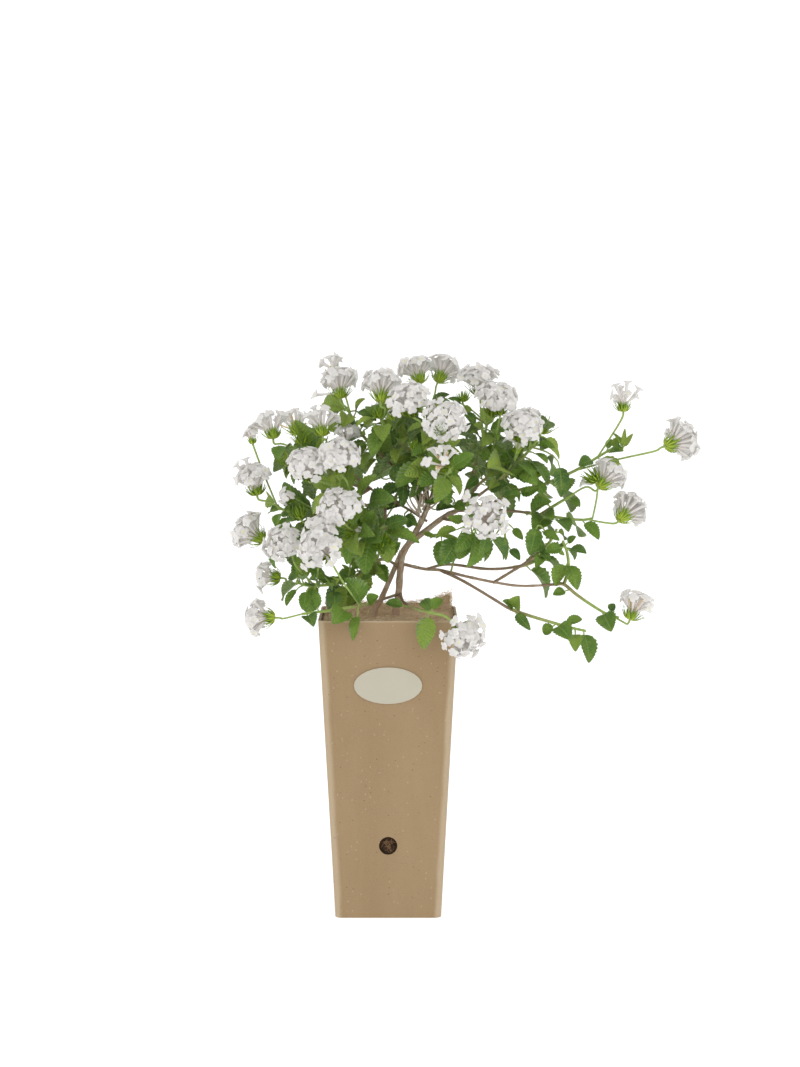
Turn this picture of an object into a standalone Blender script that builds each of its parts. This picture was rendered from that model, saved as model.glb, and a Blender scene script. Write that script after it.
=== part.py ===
"""A white trailing lantana growing in a tall cardboard sleeve.

The frame: the origin is the middle of the sleeve's base, +Z is up, and the front face looks along -Y.
Sizes are written in millimetres and turned into metres when a mesh is made.
"""

import math

import bmesh
import bpy
import numpy as np
from mathutils import Vector

MM = 0.001
CLEAR = 0.3

# Sleeve
SLEEVE_HEIGHT = 200.0
SLEEVE_TOP = 92.0
SLEEVE_BOTTOM = 70.5
BOARD = 1.5
FOLD_RADIUS = 4.5
HOLE_RADIUS = 6.1
HOLE_HEIGHT = 49.0

# Label on the front face
LABEL_WIDTH = 45.0
LABEL_HEIGHT = 24.5
LABEL_CENTRE = 157.0
LABEL_THICK = 0.5

# Root ball and mat
SOIL_TOP = 189.0
MAT_THICK = 5.0
MAT_REACH = 42.5
MAT_MIDDLE = 195.0

# Wood: the stems stand in the root ball down to their foot, and a branch thinner than THIN has 4 sides
BRANCH_FOOT = 178.0
STEM_HOLE = 0.4
THIN = 1.5
TWIG_START = 1.15
LEAD = 3.0

# Green stalks, as half their thickness, and how far a root is sunk into what it grows from
STALK = 0.8
BUD_STALK = 0.7
PETIOLE = 0.75
ROOT = 0.32
SUNK = 0.8

# Cups of bracts under the heads, as shares of the head's radius, and buds
BRACTS = 5
NOTCH = 0.45
CUP_DEPTH = 2.2
CUP_REACH = 0.56
CUP_RISE = 0.2
BUD_ROOT = 3.0

# Flower heads: shares of the head's radius
DOME_HEIGHT = 0.85
DOME_LIFT = 0.52
CORE = 0.62
CORE_UNDER = 0.46
THROAT = 0.9
LOBE = 0.93
GAP = 0.62
WIDEST = 0.52

# Leaf blades: width and arch as shares of the length, and the thickness at the rib
LEAF_WIDTH = 0.78
ARCH = 0.12
FOLD = 0.30
RIB_ABOVE = 0.5
RIB_BELOW = 0.8

# Leaf edges: places along the blade and how far each stands out of its smooth outline
TEETH = [(0.15, 1.08), (0.31, 0.88), (0.45, 1.08), (0.62, 0.86), (0.76, 1.1)]
SMALL_TEETH = [(0.2, 1.06), (0.42, 0.86), (0.62, 1.12)]
SMALL_LEAF = 23.0

# The viewpoint that the plant's places are described from
EYE = np.array([8.0, -1847.0, 405.0])


def seen(x, z, depth):
    """The point at this depth that the viewpoint sees at (x, z) in the plane of the trunk."""
    flat = np.array([x, 0.0, z])
    return EYE + (flat - EYE) * (depth - EYE[1]) / (0.0 - EYE[1])


def unit(v):
    """The vector v at length 1."""
    v = np.asarray(v, float)
    return v / np.linalg.norm(v)


def smooth(points, steps):
    """Points along the Catmull-Rom curve through the given ones, with steps to each span."""
    p = np.asarray(points, float)
    ends = np.vstack([2 * p[0] - p[1], p, 2 * p[-1] - p[-2]])
    out = []
    for a, b, c, d in zip(ends, ends[1:], ends[2:], ends[3:]):
        for t in np.arange(steps) / steps:
            out.append(0.5 * (2 * b + (c - a) * t + (2 * a - 5 * b + 4 * c - d) * t**2
                              + (3 * b - a - 3 * c + d) * t**3))
    return np.array(out + [p[-1]])


def nearest(path, point):
    """The point of a path's corners and middles that lies nearest to the given one."""
    fine = np.vstack([path, (path[1:] + path[:-1]) / 2])
    return fine[np.argmin(np.linalg.norm(fine - point, axis=1))]


# The brown branches: radius at the root and at the end, then points (x, z, depth)
BRANCHES = [
    (1.9, 1.6, [(-9, 178, 0), (-9, 200, 0), (-4, 211, 0), (9, 242, -1)]),
    (2.4, 2.1, [(5, 178, -3), (5, 200, -3), (7, 212, -3), (9, 238, -1), (15, 249, 0)]),
    (2.1, 1.7, [(15, 249, 0), (22, 262, 0), (27, 273, 2)]),
    (2.0, 1.6, [(15, 248, 0), (36, 264, 0), (46, 269, 0)]),
    (1.3, 0.9, [(11, 233, -2), (24, 230, -8), (35, 229, -12), (52, 225, -14), (71, 221, -14),
                (88, 218.5, -14), (106, 219, -14)]),
    (1.0, 0.9, [(26, 262, 0), (10, 272, -2), (-4, 279, 0), (-12, 284, 0)]),
]


class Spray:
    """One green shoot: the brown twig it ends, its stems, leaves set by hand, and its flower heads."""

    def __init__(self, name, twig, stems, heads=(), leaves=(), pairs=(), buds=(), size=29, thick=1.1):
        self.name = name
        self.twig = twig
        self.stems = stems
        self.heads = heads
        self.leaves = leaves
        self.pairs = pairs
        self.buds = buds
        self.size = size
        self.thick = thick


# Places are (x, z, depth). A head is: name, stalk, facing, radius and number of florets, and the last
# point of its stalk carries it; two heads of one name have grown into each other. A leaf set by hand
# is: root, tip, length and width of its blade. A row of pairs is: number of the stem, first and last
# place along it, and how many pairs.
SPRAYS = [
    Spray("spray_top_left", [(27, 273, 2), (14, 290, 2), (-2, 304, 5)],
          [[(-2, 304, 5), (-14, 316, 8), (-22, 327, 8), (-27, 337, 8)]],
          [("head_top_left_a", [(-24, 330, 8), (-30, 350, 14), (-36, 361, 14)], (-0.2, 0.0, 1), 9.5, 6),
           ("head_top_left_b", [(-20, 324, 8), (-27, 337, 1), (-32, 346, -2)], (-0.1, -0.35, 1), 13, 7)],
          pairs=[(0, 0.15, 0.95, 3)]),
    Spray("spray_top", [(27, 273, 2), (25, 290, 2), (20, 302, 2)],
          [[(20, 302, 2), (8, 315, -6), (-2, 325, -12), (-6, 333, -16)],
           [(17, 305, -1), (24, 318, 12), (27, 333, 19), (27, 341, 21)]],
          [("head_top", [(-4, 328, -14), (-2, 337, -22), (-5, 344, -24)], (0.0, -0.15, 1), 13.5, 7),
           ("heads_top_back", [(26, 334, 19), (24, 346, 20), (21, 356, 20)], (-0.3, -0.05, 1), 12, 7),
           ("heads_top_back", [(27, 336, 20), (31, 347, 26), (34, 357, 27)], (0.45, 0.15, 1), 12, 7)],
          pairs=[(0, 0.3, 0.85, 2), (1, 0.2, 0.9, 3)], buds=[((-6, 333, -16), (-0.1, -0.3, 1), 3.2)]),
    Spray("spray_centre", [(27, 273, 2), (30, 284, -10), (30, 290, -18)],
          [[(30, 290, -18), (29, 303, -26), (28, 316, -28), (27, 326, -27)],
           [(30, 298, -23), (36, 295, -35), (42, 295, -44)]],
          [("head_centre_a", [(28, 318, -28), (22, 328, -34), (16, 335, -38)], (-0.25, -0.6, 0.75),
            14, 8),
           ("head_centre_b", [(28, 312, -28), (33, 321, -40), (37, 327, -48)], (0.1, -1, 0.25), 14, 8),
           ("head_centre_c", [(38, 293, -37), (40, 294, -52), (38, 299, -60)], (-0.4, -0.8, 0.4),
            10.5, 6)],
          pairs=[(0, 0.3, 0.95, 3), (1, 0.75, 0.75, 1)]),
    Spray("spray_right_top", [(46, 269, 0), (53, 284, 0), (57, 295, -1)],
          [[(57, 295, -1), (61, 308, -3), (64, 318, -4), (66, 327, -5)]],
          [("head_right_top_a", [(64, 319, -4), (62, 334, 6), (61, 348, 8)], (-0.1, -0.1, 1), 13.5, 8),
           ("head_right_top_b", [(66, 325, -5), (69, 330, -11), (70, 335, -15)], (0.15, -0.5, 0.8),
            14, 8)],
          pairs=[(0, 0.1, 0.9, 3)]),
    Spray("spray_right_shoulder", [(46, 269, 0), (60, 279, -3), (72, 288, -7)],
          [[(72, 288, -7), (82, 297, -10), (92, 307, -11), (99, 316, -10), (102, 322, -9)]],
          [("head_right_shoulder", [(84, 299, -10), (86, 309, -24), (88, 318, -31)], (0.15, -0.6, 0.7),
            13, 7)],
          pairs=[(0, 0.15, 0.95, 3)], buds=[((102, 322, -9), (0.2, -0.2, 1), 4.5)]),
    Spray("spray_left_top", [(-12, 284, 0), (-22, 292, -4)],
          [[(-22, 292, -4), (-34, 301, -5), (-48, 307, -3), (-60, 310, 0), (-66, 313, 1)],
           [(-31, 299, -5), (-36, 307, -12), (-41, 313, -16)]],
          [("head_left_top", [(-63, 312, 0), (-71, 314, 3), (-77, 319, 4)], (-0.15, -0.1, 1), 12, 7),
           ("head_left_mid", [(-40, 311, -15), (-42, 317, -20), (-44, 321, -23)], (-0.1, -0.35, 1),
            13, 7)],
          pairs=[(0, 0.2, 0.95, 3)]),
    Spray("spray_left_front", [(-4, 279, 0), (-8, 273, -14), (-12, 272, -24)],
          [[(-12, 272, -24), (-20, 275, -33), (-28, 280, -39), (-34, 284, -42)]],
          [("heads_left_front", [(-24, 277, -36), (-28, 289, -50), (-32, 297, -56)],
            (-0.05, -0.6, 0.75), 14, 8),
           ("heads_left_front", [(-34, 284, -42), (-46, 289, -48), (-53, 292, -51)],
            (-0.05, -0.6, 0.7), 13.5, 7)],
          pairs=[(0, 0.15, 0.95, 3)]),
    Spray("spray_left_out", [(-12, 284, 0), (-28, 274, 0), (-40, 268, -3)],
          [[(-40, 268, -3), (-52, 266, -6), (-64, 268, -9), (-74, 271, -10)],
           [(-49, 266, -5), (-58, 259, -8), (-68, 253, -8), (-74, 251, -8)]],
          [("head_left_out", [(-70, 270, -10), (-80, 275, -12), (-88, 281, -13)], (-0.25, -0.4, 1),
            13.5, 7),
           ("head_left_low_out", [(-72, 252, -8), (-80, 250, -8), (-85, 250, -8)], (-0.85, -0.45, 0.5),
            14, 8)],
          pairs=[(0, 0.2, 0.95, 3), (1, 0.4, 0.95, 2)]),
    Spray("spray_front_left", [(-4, 279, 0), (-2, 268, -16), (-4, 260, -28)],
          [[(-4, 260, -28), (-10, 256, -38), (-18, 254, -46), (-24, 254, -50)]],
          [("head_front_left", [(-20, 254, -48), (-28, 259, -57), (-31, 265, -63)], (-0.1, -0.75, 0.6),
            13.5, 8)],
          leaves=[((-5, 258, -32), (25, 246, -44), 29, 11), ((-8, 257, -36), (14, 263, -40), 15, 12)],
          pairs=[(0, 0.35, 0.95, 2)], buds=[((-24, 254, -50), (-0.6, -0.6, -0.3), 3)]),
    Spray("spray_left_low", [(7, 231, -2), (3, 234, -4), (-1, 236, -7)],
          [[(-1, 236, -7), (-6, 236, -11), (-15, 230, -18), (-28, 222, -27), (-42, 219, -33),
            (-56, 219, -35), (-62, 222, -35)]],
          [("head_left_low_a", [(-52, 219, -35), (-62, 232, -42), (-67, 243, -45)], (-0.35, -0.8, 0.4),
            13, 7),
           ("head_left_low_b", [(-60, 221, -35), (-68, 221, -32), (-74, 224, -30)], (-0.9, -0.25, 0.15),
            11, 7)],
          leaves=[((-10, 233, -14), (-24, 233, -24), 15, 12), ((-24, 224, -25), (-32, 234, -32), 13, 5),
                  ((-8, 235, -12), (-4, 246, -30), 8, 6)],
          pairs=[(0, 0.5, 0.95, 2)], buds=[((-4, 246, -34), (0, -0.8, 0.5), 4.5)]),
    Spray("spray_rim_left", [(7, 213, -4), (-2, 210, -16), (-10, 207, -28)],
          [[(-10, 207, -28), (-19, 205, -40), (-32, 203, -45), (-46, 201, -47), (-58, 199.5, -47)]],
          [("head_rim_left", [(-56, 200, -47), (-70, 196.5, -47), (-78, 197, -47)], (-1, -0.15, 0.05),
            12, 7),
           ("head_front_low", [(-19, 205, -40), (-31, 222, -62), (-42, 240, -74)], (-0.3, -0.8, 0.45),
            15, 9)],
          leaves=[((-17, 206, -38), (-31, 226, -46), 25, 16), ((-16, 206, -36), (-6, 212, -40), 17, 11),
                  ((-28, 204, -44), (-38, 192, -60), 22, 16), ((-20, 205, -41), (-24, 179, -60), 22, 9),
                  ((-47, 201, -47), (-50, 217, -44), 13, 8), ((-55, 200, -47), (-50, 191, -62), 15, 13),
                  ((-36, 203, -46), (-36, 215, -34), 16, 11)]),
    Spray("spray_rim_front", [(8, 213, -5), (10, 208, -18), (14, 205, -30)],
          [[(14, 205, -30), (18, 203, -42), (28, 200.5, -52), (38, 198, -58), (42, 195, -61)]],
          [("head_rim_front", [(38, 198, -58), (44, 193, -61), (48, 189, -64)], (0.2, -0.95, -0.35),
            14.5, 9)],
          leaves=[((27, 201, -51), (23, 172, -60), 25, 16), ((12, 206, -24), (-3, 207, -28), 13, 9),
                  ((30, 200, -53), (23, 210, -42), 17, 11), ((28, 200.5, -52), (36, 210, -46), 14, 9)]),
    Spray("spray_front_right", [(36, 264, 0), (46, 262, -16), (52, 262, -26)],
          [[(52, 262, -26), (56, 260, -36), (60, 257, -43), (66, 254, -47)]],
          [("head_front_right", [(56, 260, -36), (60, 262, -52), (64, 264, -60)], (0.1, -1, 0.1),
            14.5, 8)],
          leaves=[((52, 261, -28), (35, 231, -40), 22, 17), ((55, 260, -34), (47, 236, -42), 16, 14),
                  ((55, 260, -34), (31, 250, -30), 16, 8)],
          pairs=[(0, 0.6, 0.95, 2)]),
    Spray("spray_right_mid", [(46, 269, 0), (64, 270, 4), (82, 269, 6), (92, 268, 7)],
          [[(92, 268, 7), (104, 266, 8), (118, 264, 8), (130, 263, 8), (137, 264, 8)],
           [(102, 266, 8), (112, 273, 4), (124, 280, 2)]],
          [("head_right_mid", [(133, 263, 8), (146, 261, 8), (156, 264, 8)], (0.7, -0.3, 0.7), 13.5, 8),
           ("head_right_upper", [(120, 278, 3), (132, 285, 0), (142, 286, -2)], (0.65, -0.25, 0.75),
            13, 7)],
          leaves=[((130, 263, 8), (142, 249, 2), 18, 12), ((112, 265, 8), (122, 254, -8), 17, 14),
                  ((106, 266, 8), (96, 253, -10), 22, 17), ((100, 267, 8), (112, 262, -14), 19, 13),
                  ((110, 271, 5), (97, 279, -8), 18, 14), ((120, 278, 3), (129, 271, -6), 15, 9)],
          pairs=[(0, 0.2, 0.2, 1), (0, 0.55, 0.55, 1)]),
    Spray("spray_right_upper", [(64, 270, 4), (76, 278, 11), (88, 283, 14)],
          [[(88, 283, 14), (102, 286, 15), (125, 296, 16), (140, 305, 16), (150, 311, 15)]],
          [("head_far_right", [(126, 296, 16), (143, 301, 17), (160, 305, 17), (178, 309, 16),
                               (187, 313, 16)],
            (0.95, -0.25, 0.35), 14.5, 9),
           ("head_right_tall", [(142, 306, 16), (151, 322, 18), (157, 337, 18)], (0.05, -0.1, 1), 11, 7)],
          leaves=[((118, 292, 16), (117, 279, -4), 20, 17), ((140, 305, 16), (156, 293, 24), 20, 14),
                  ((138, 304, 16), (127, 299, 8), 20, 12), ((148, 310, 15), (158, 318, 10), 13, 7),
                  ((146, 309, 15), (158, 309, 4), 13, 8), ((146, 309, 15), (150, 318, 22), 11, 6)],
          pairs=[(0, 0.08, 0.28, 2)]),
    Spray("spray_right_low", [(104, 219, -14), (112, 219.5, -14)],
          [[(112, 219.5, -14), (118, 219.5, -14), (126, 213, -14), (136, 206, -14), (146, 200, -14),
            (155, 197, -14)],
           [(118, 219.5, -14), (121, 230, -12), (120, 241, -10), (117, 249, -10)]],
          [("head_right_low", [(150, 198.5, -14), (158, 194, -15), (163, 197, -16)],
            (0.35, -0.35, 0.85), 13, 7)],
          leaves=[((121, 235, -11), (112, 217, -22), 21, 15), ((121, 235, -11), (127, 216, -24), 22, 15),
                  ((119, 243, -10), (134, 240, -16), 15, 11), ((118, 246, -10), (126, 252, -12), 9, 6),
                  ((119, 245, -10), (105, 241, -14), 13, 12), ((122, 216, -14), (110, 212, -20), 10, 7),
                  ((147, 200, -14), (153, 207, -14), 9, 6), ((143, 201, -14), (151, 186, -26), 19, 15)]),
    Spray("spray_right_across", [(71, 221, -14), (84, 229, -10), (95, 236, -7)],
          [[(95, 236, -7), (104, 243, -5), (111, 252, -4), (113, 257, -4)]],
          leaves=[((104, 243, -5), (99, 231, -20), 12, 10), ((108, 247, -4), (92, 243, -12), 17, 12)],
          pairs=[(0, 0.2, 0.9, 2)], size=21),
    Spray("spray_right_trailing", [(35, 229, -12), (50, 222, -20), (70, 210, -26), (82, 203, -28)],
          [[(82, 203, -28), (96, 198, -30), (113, 193, -31), (124, 190, -31), (133, 188, -31)]],
          leaves=[((84, 202, -28), (96, 188, -40), 18, 8), ((113, 193, -31), (123, 182, -44), 18, 15),
                  ((118, 192, -31), (132, 197, -24), 17, 10), ((131, 188, -31), (135, 166, -42), 23, 16),
                  ((126, 189, -31), (126, 174, -50), 17, 10), ((113, 193, -31), (104, 186, -26), 13, 9),
                  ((84, 202, -28), (88, 212, -38), 14, 12), ((86, 201, -28), (76, 209, -36), 12, 10)]),
    Spray("spray_right_thin", [(26, 230, -8), (40, 233, 4), (66, 230, 10), (84, 231, 12)],
          [[(84, 231, 12), (96, 234, 14), (106, 240, 15), (114, 248, 16)]],
          pairs=[(0, 0.2, 0.95, 3)], size=24),
    Spray("spray_back_left", [(-12, 284, 0), (-22, 286, 16), (-30, 290, 28)],
          [[(-30, 290, 28), (-40, 297, 40), (-50, 303, 50), (-56, 308, 57)]],
          [("head_back_left", [(-54, 306, 54), (-58, 315, 62), (-61, 322, 66)], (-0.3, 0.6, 1), 13.5, 7)],
          pairs=[(0, 0.15, 0.95, 3)], size=29),
    Spray("spray_back", [(27, 273, 2), (22, 288, 18), (18, 298, 30)],
          [[(18, 298, 30), (14, 306, 42), (10, 312, 54), (8, 316, 62)]],
          [("head_back", [(9, 314, 58), (6, 324, 68), (4, 330, 74)], (-0.1, 0.7, 0.9), 14, 8),
           ("head_back_mid", [(13, 308, 46), (24, 300, 64), (30, 296, 74)], (0.3, 1, 0.1), 13, 7)],
          pairs=[(0, 0.15, 0.95, 3)], size=29),
    Spray("spray_back_right", [(46, 269, 0), (54, 278, 18), (60, 286, 32)],
          [[(60, 286, 32), (68, 293, 42), (77, 300, 50), (84, 306, 56)]],
          [("head_back_right", [(82, 304, 54), (88, 312, 60), (91, 319, 63)], (0.35, 0.5, 0.9), 13.5, 7)],
          pairs=[(0, 0.15, 0.95, 3)], size=29),
    Spray("spray_back_low", [(15, 249, 0), (8, 254, 16), (0, 257, 30)],
          [[(0, 257, 30), (-10, 258, 42), (-20, 257, 52), (-28, 254, 60)]],
          [("head_back_low", [(-26, 255, 58), (-33, 258, 68), (-38, 262, 74)], (-0.4, 0.9, 0.4), 13, 7)],
          pairs=[(0, 0.15, 0.95, 3)], size=28),
]


# Layout of the plant

LEAF_STEPS = np.linspace(0.06, 1.0, 7)
LEAF_ACROSS = np.linspace(-1.0, 1.0, 5)
LEAF_CLEARANCE = 2.4
PLANT_CENTRE = np.array([10.0, 0.0, 270.0])


def half_width(t):
    """Half the blade's width at t along it, as a share of the full width: an egg shape."""
    return 0.5 * np.sin(math.pi * np.clip(t, 0, 1) ** 0.62) ** 0.9


class Leaf:
    """A blade from its base along an arched midrib, folded up a little on both sides."""

    def __init__(self, root, base, tip, width, facing):
        self.root = np.asarray(root, float)
        self.base = np.asarray(base, float)
        self.length = np.linalg.norm(tip - base)
        self.along = unit(tip - base)
        side = np.cross(facing, self.along)
        self.side = unit(side if np.linalg.norm(side) > 0.05 else np.cross((0.3, 1, 0.2), self.along))
        self.up = np.cross(self.along, self.side)
        self.width = width

    def at(self, t, v, lift=0.0, spread=1.0):
        """The blade's point t along it and v across it, from -1 to 1, raised by lift."""
        t, v = np.asarray(t, float), np.asarray(v, float)
        y = v * self.width * half_width(t) * spread
        z = ARCH * self.length * 4 * t * (1 - t) + FOLD * np.abs(y) + lift
        x = self.length * t
        return (self.base + x[..., None] * self.along + y[..., None] * self.side
                + z[..., None] * self.up)

    def samples(self):
        """Points spread over the blade, for measuring clearances."""
        t, v = np.meshgrid(LEAF_STEPS, LEAF_ACROSS)
        return self.at(t.ravel(), v.ravel())


class Taken:
    """The space that is already filled: points, each with a radius and the piece that it is on."""

    def __init__(self):
        self.points = np.zeros((0, 3))
        self.radii = np.zeros(0)
        self.owners = np.zeros(0, int)

    def add(self, points, radius, owner):
        self.points = np.vstack([self.points, points])
        self.radii = np.append(self.radii, np.full(len(points), radius))
        self.owners = np.append(self.owners, np.full(len(points), owner))

    def room(self, points, owner, root, near):
        """The least distance from the points to what is taken, without the owner's own stem by the root."""
        own = (self.owners == owner) & (np.linalg.norm(self.points - root, axis=1) < near)
        others = self.points[~own]
        away = np.linalg.norm(points[:, None] - others[None], axis=2) - self.radii[~own]
        return away.min()


def walk(path, step):
    """Points along a path, no more than a step apart."""
    out = [path[:1]]
    for a, b in zip(path, path[1:]):
        n = max(1, int(np.ceil(np.linalg.norm(b - a) / step)))
        out.append(a + (b - a) * (np.arange(1, n + 1) / n)[:, None])
    return np.vstack(out)


def along_path(path, share):
    """The point at a share of the path's length, and the path's direction there."""
    steps = np.linalg.norm(np.diff(path, axis=0), axis=1)
    reach = np.concatenate([[0], np.cumsum(steps)])
    here = share * reach[-1]
    i = min(max(int(np.searchsorted(reach, here)) - 1, 0), len(steps) - 1)
    return path[i] + (path[i + 1] - path[i]) * (here - reach[i]) / steps[i], unit(path[i + 1] - path[i])


def head_middle(at, facing, radius):
    """The centre of a flower head's dome, over the end of its stalk."""
    return at + unit(facing) * radius * DOME_LIFT


def lay_out(spray):
    """True paths of a spray's twig, stems and stalks."""
    twig = np.array([seen(*p) for p in spray.twig])
    lead = unit(twig[-1] - twig[-2])
    spray.twig_path = twig
    spray.stem_paths = []
    for i, stem in enumerate(spray.stems):
        points = [seen(*p) for p in stem]
        if i == 0:
            points[:1] = [twig[-1] + lead * CLEAR, twig[-1] + lead * LEAD]
        else:
            points[0] = nearest(spray.stem_paths[0], points[0])
        spray.stem_paths.append(np.array(points))
    every = np.vstack(spray.stem_paths)
    spray.stalks = []
    for name, stalk, facing, radius, florets in spray.heads:
        points = [seen(*p) for p in stalk]
        points[0] = nearest(every, points[0])
        end = unit(facing)
        points.insert(-1, points[-1] - end * 5)
        spray.stalks.append((name, np.array(points), end, radius, florets))


def hand_leaf(spray, place):
    """A leaf whose root and tip are given; its stalk takes up what the blade leaves."""
    root, tip, length, width = place[:4]
    facing = place[4] if len(place) > 4 else (0.0, -0.8, 0.6)
    root = nearest(np.vstack([walk(p, 2.0)[2:] for p in spray.stem_paths]), seen(*root))
    tip = seen(*tip)
    reach = np.linalg.norm(tip - root)
    length = min(length, reach - 3.0)
    return Leaf(root, tip - unit(tip - root) * length, tip, width, facing)


def pair_leaf(spray, root, axis, turn, size, droop, stalk):
    """A leaf that grows out of a stem at an angle round it, and looks up and outwards."""
    flat = unit(np.cross(axis, (0.1, 0.05, 1.0)))
    other = np.cross(axis, flat)
    out = math.cos(turn) * flat + math.sin(turn) * other
    along = unit(out * 0.9 + axis * 0.35 + np.array([0, 0, -droop]))
    base = root + unit(along + axis * 0.3 + np.array([0, 0, 0.2])) * stalk
    facing = np.array([0, 0, 0.45]) + unit(root - PLANT_CENTRE) * 0.9
    return Leaf(root, base, base + along * size, size * LEAF_WIDTH, facing)


def grow(sprays, taken):
    """Places every leaf: first those set by hand, then the pairs, each turned until it has room."""
    rng = np.random.default_rng(11)
    for owner, spray in enumerate(sprays):
        spray.blades = []
        for place in spray.leaves:
            leaf = hand_leaf(spray, place)
            spray.blades.append(leaf)
            taken.add(leaf.samples(), 0.4, owner)
    for owner, spray in enumerate(sprays):
        for stem, first, last, count in spray.pairs:
            path = spray.stem_paths[stem]
            start = rng.uniform(0, math.pi)
            for k, share in enumerate(np.linspace(first, last, count)):
                root, axis = along_path(path, share)
                for half in (0, math.pi):
                    leaf = fit_leaf(spray, owner, taken, rng, root, axis, start + k * math.pi / 2 + half,
                                    spray.size * (1.08 - 0.5 * share * last))
                    if leaf is not None:
                        spray.blades.append(leaf)
                        taken.add(leaf.samples(), 0.4, owner)


def fit_leaf(spray, owner, taken, rng, root, axis, turn, size):
    """The first of several turned, drooped and shortened leaves that touches nothing."""
    draws = rng.uniform(-1, 1, (16, 4))
    for k, (a, b, c, d) in enumerate(draws):
        leaf = pair_leaf(spray, root, axis, turn + a * (0.15 + 0.08 * k),
                         size * (1 - 0.018 * k) * (1 + 0.1 * d),
                         0.55 + 0.4 * b + 0.01 * k, 6 + 2 * c)
        low = leaf.samples()[:, 2].min()
        if low > SLEEVE_HEIGHT + 3 and taken.room(leaf.samples(), owner, root, 7.0) > LEAF_CLEARANCE:
            return leaf
    return None


def plan():
    """Lays out the whole plant and returns the space it takes."""
    taken = Taken()
    for owner, spray in enumerate(SPRAYS):
        lay_out(spray)
        for path in spray.stem_paths:
            taken.add(walk(path, 2.5), spray.thick, owner)
        taken.add(walk(spray.twig_path, 2.5), 1.0, 100)
        for name, stalk, facing, radius, florets in spray.stalks:
            taken.add(walk(stalk, 2.5), 0.8, owner)
            taken.add(head_middle(stalk[-1], facing, radius)[None], radius + 0.5, 200)
            taken.add(stalk[-1][None] + facing * 1.5, radius * 0.5, 200)
    for start, end, points in BRANCHES:
        taken.add(walk(np.array([seen(*p) for p in points]), 2.5), start, 100)
    grow(SPRAYS, taken)
    return taken


# Meshes

def material(name, colour, roughness):
    """A plain material in the piece's own colour."""
    made = bpy.data.materials.new(name)
    made.use_nodes = True
    shader = made.node_tree.nodes["Principled BSDF"]
    shader.inputs["Base Color"].default_value = (*colour, 1)
    shader.inputs["Roughness"].default_value = roughness
    shader.inputs["Metallic"].default_value = 0
    made.diffuse_color = (*colour, 1)
    return made


def solid(name, points, faces, folder, finish=None):
    """A mesh object from points in millimetres."""
    mesh = bpy.data.meshes.new(name)
    mesh.from_pydata([Vector(p) * MM for p in points], [], faces)
    mesh.update()
    thing = bpy.data.objects.new(name, mesh)
    folder.objects.link(thing)
    if finish:
        mesh.materials.append(finish)
    return thing


def from_bmesh(name, bm, folder, finish=None):
    """An object that holds a finished bmesh."""
    mesh = bpy.data.meshes.new(name)
    bm.to_mesh(mesh)
    bm.free()
    thing = bpy.data.objects.new(name, mesh)
    folder.objects.link(thing)
    if finish:
        mesh.materials.append(finish)
    return thing


def tube(name, path, start, end, sides, folder):
    """A tapered stem along a path: a curve with a bevel, made a mesh with its caps welded on."""
    curve = bpy.data.curves.new(name, "CURVE")
    curve.dimensions = "3D"
    curve.bevel_depth = 1.0 * MM
    curve.bevel_resolution = (sides - 4) // 2
    curve.use_fill_caps = True
    spline = curve.splines.new("POLY")
    spline.points.add(len(path) - 1)
    for i, (point, p) in enumerate(zip(spline.points, path)):
        point.co = (*(Vector(p) * MM), 1)
        point.radius = start + (end - start) * i / (len(path) - 1)
    wire = bpy.data.objects.new(name, curve)
    bpy.context.scene.collection.objects.link(wire)
    bpy.context.view_layer.update()
    mesh = bpy.data.meshes.new_from_object(wire.evaluated_get(bpy.context.evaluated_depsgraph_get()))
    bpy.data.objects.remove(wire)
    bm = bmesh.new()
    bm.from_mesh(mesh)
    bmesh.ops.remove_doubles(bm, verts=bm.verts, dist=0.01 * MM)
    bmesh.ops.recalc_face_normals(bm, faces=bm.faces)
    bpy.data.meshes.remove(mesh)
    return from_bmesh(name, bm, folder)


def blade(name, leaf, folder):
    """A leaf: a thin closed blade with toothed edges, whose three-sided stalk runs back to its root."""
    small = leaf.length < SMALL_LEAF
    side = SMALL_TEETH if small else TEETH
    n = len(side)
    points = [leaf.at(0.0, 0.0) - leaf.side * PETIOLE, leaf.at(0.0, 0.0) + leaf.side * PETIOLE,
              leaf.at(0.0, 0.0, -1.1)]
    for sign in (1, -1):
        points += [leaf.at(t, sign, 0.0, wide) for t, wide in side]
    points += [leaf.at(1.0, 0.0), leaf.at(0.36, 0.0, RIB_ABOVE), leaf.at(0.68, 0.0, RIB_ABOVE * 0.7),
               leaf.at(0.45, 0.0, -RIB_BELOW)]
    back = unit(leaf.base - leaf.root)
    wide = unit(np.cross(leaf.up, back))
    high = np.cross(back, wide)
    points += [leaf.root + wide * ROOT, leaf.root - wide * ROOT, leaf.root - high * ROOT]
    right, left = list(range(3, 3 + n)), list(range(3 + n, 3 + 2 * n))
    tip = 3 + 2 * n
    first, second, low = tip + 1, tip + 2, tip + 3
    end = (tip + 4, tip + 5, tip + 6)
    middle = n // 2
    faces = [(0, 1, first), (1, 2, low), (2, 0, low)]
    for base, rim in ((1, right), (0, left)):
        edge = [base] + rim + [tip]
        for k, (x, y) in enumerate(zip(edge, edge[1:])):
            faces.append((x, y, first if k <= middle else second))
            faces.append((x, y, low))
        faces.append((edge[middle + 1], second, first))
    faces += [(0, 1, end[0]), (0, end[0], end[1]), (1, 2, end[2]), (1, end[2], end[0]), (2, 0, end[1]),
              (2, end[1], end[2]), (end[0], end[2], end[1])]
    thing = solid(name, points, faces, folder)
    outward(thing)
    return thing


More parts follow.
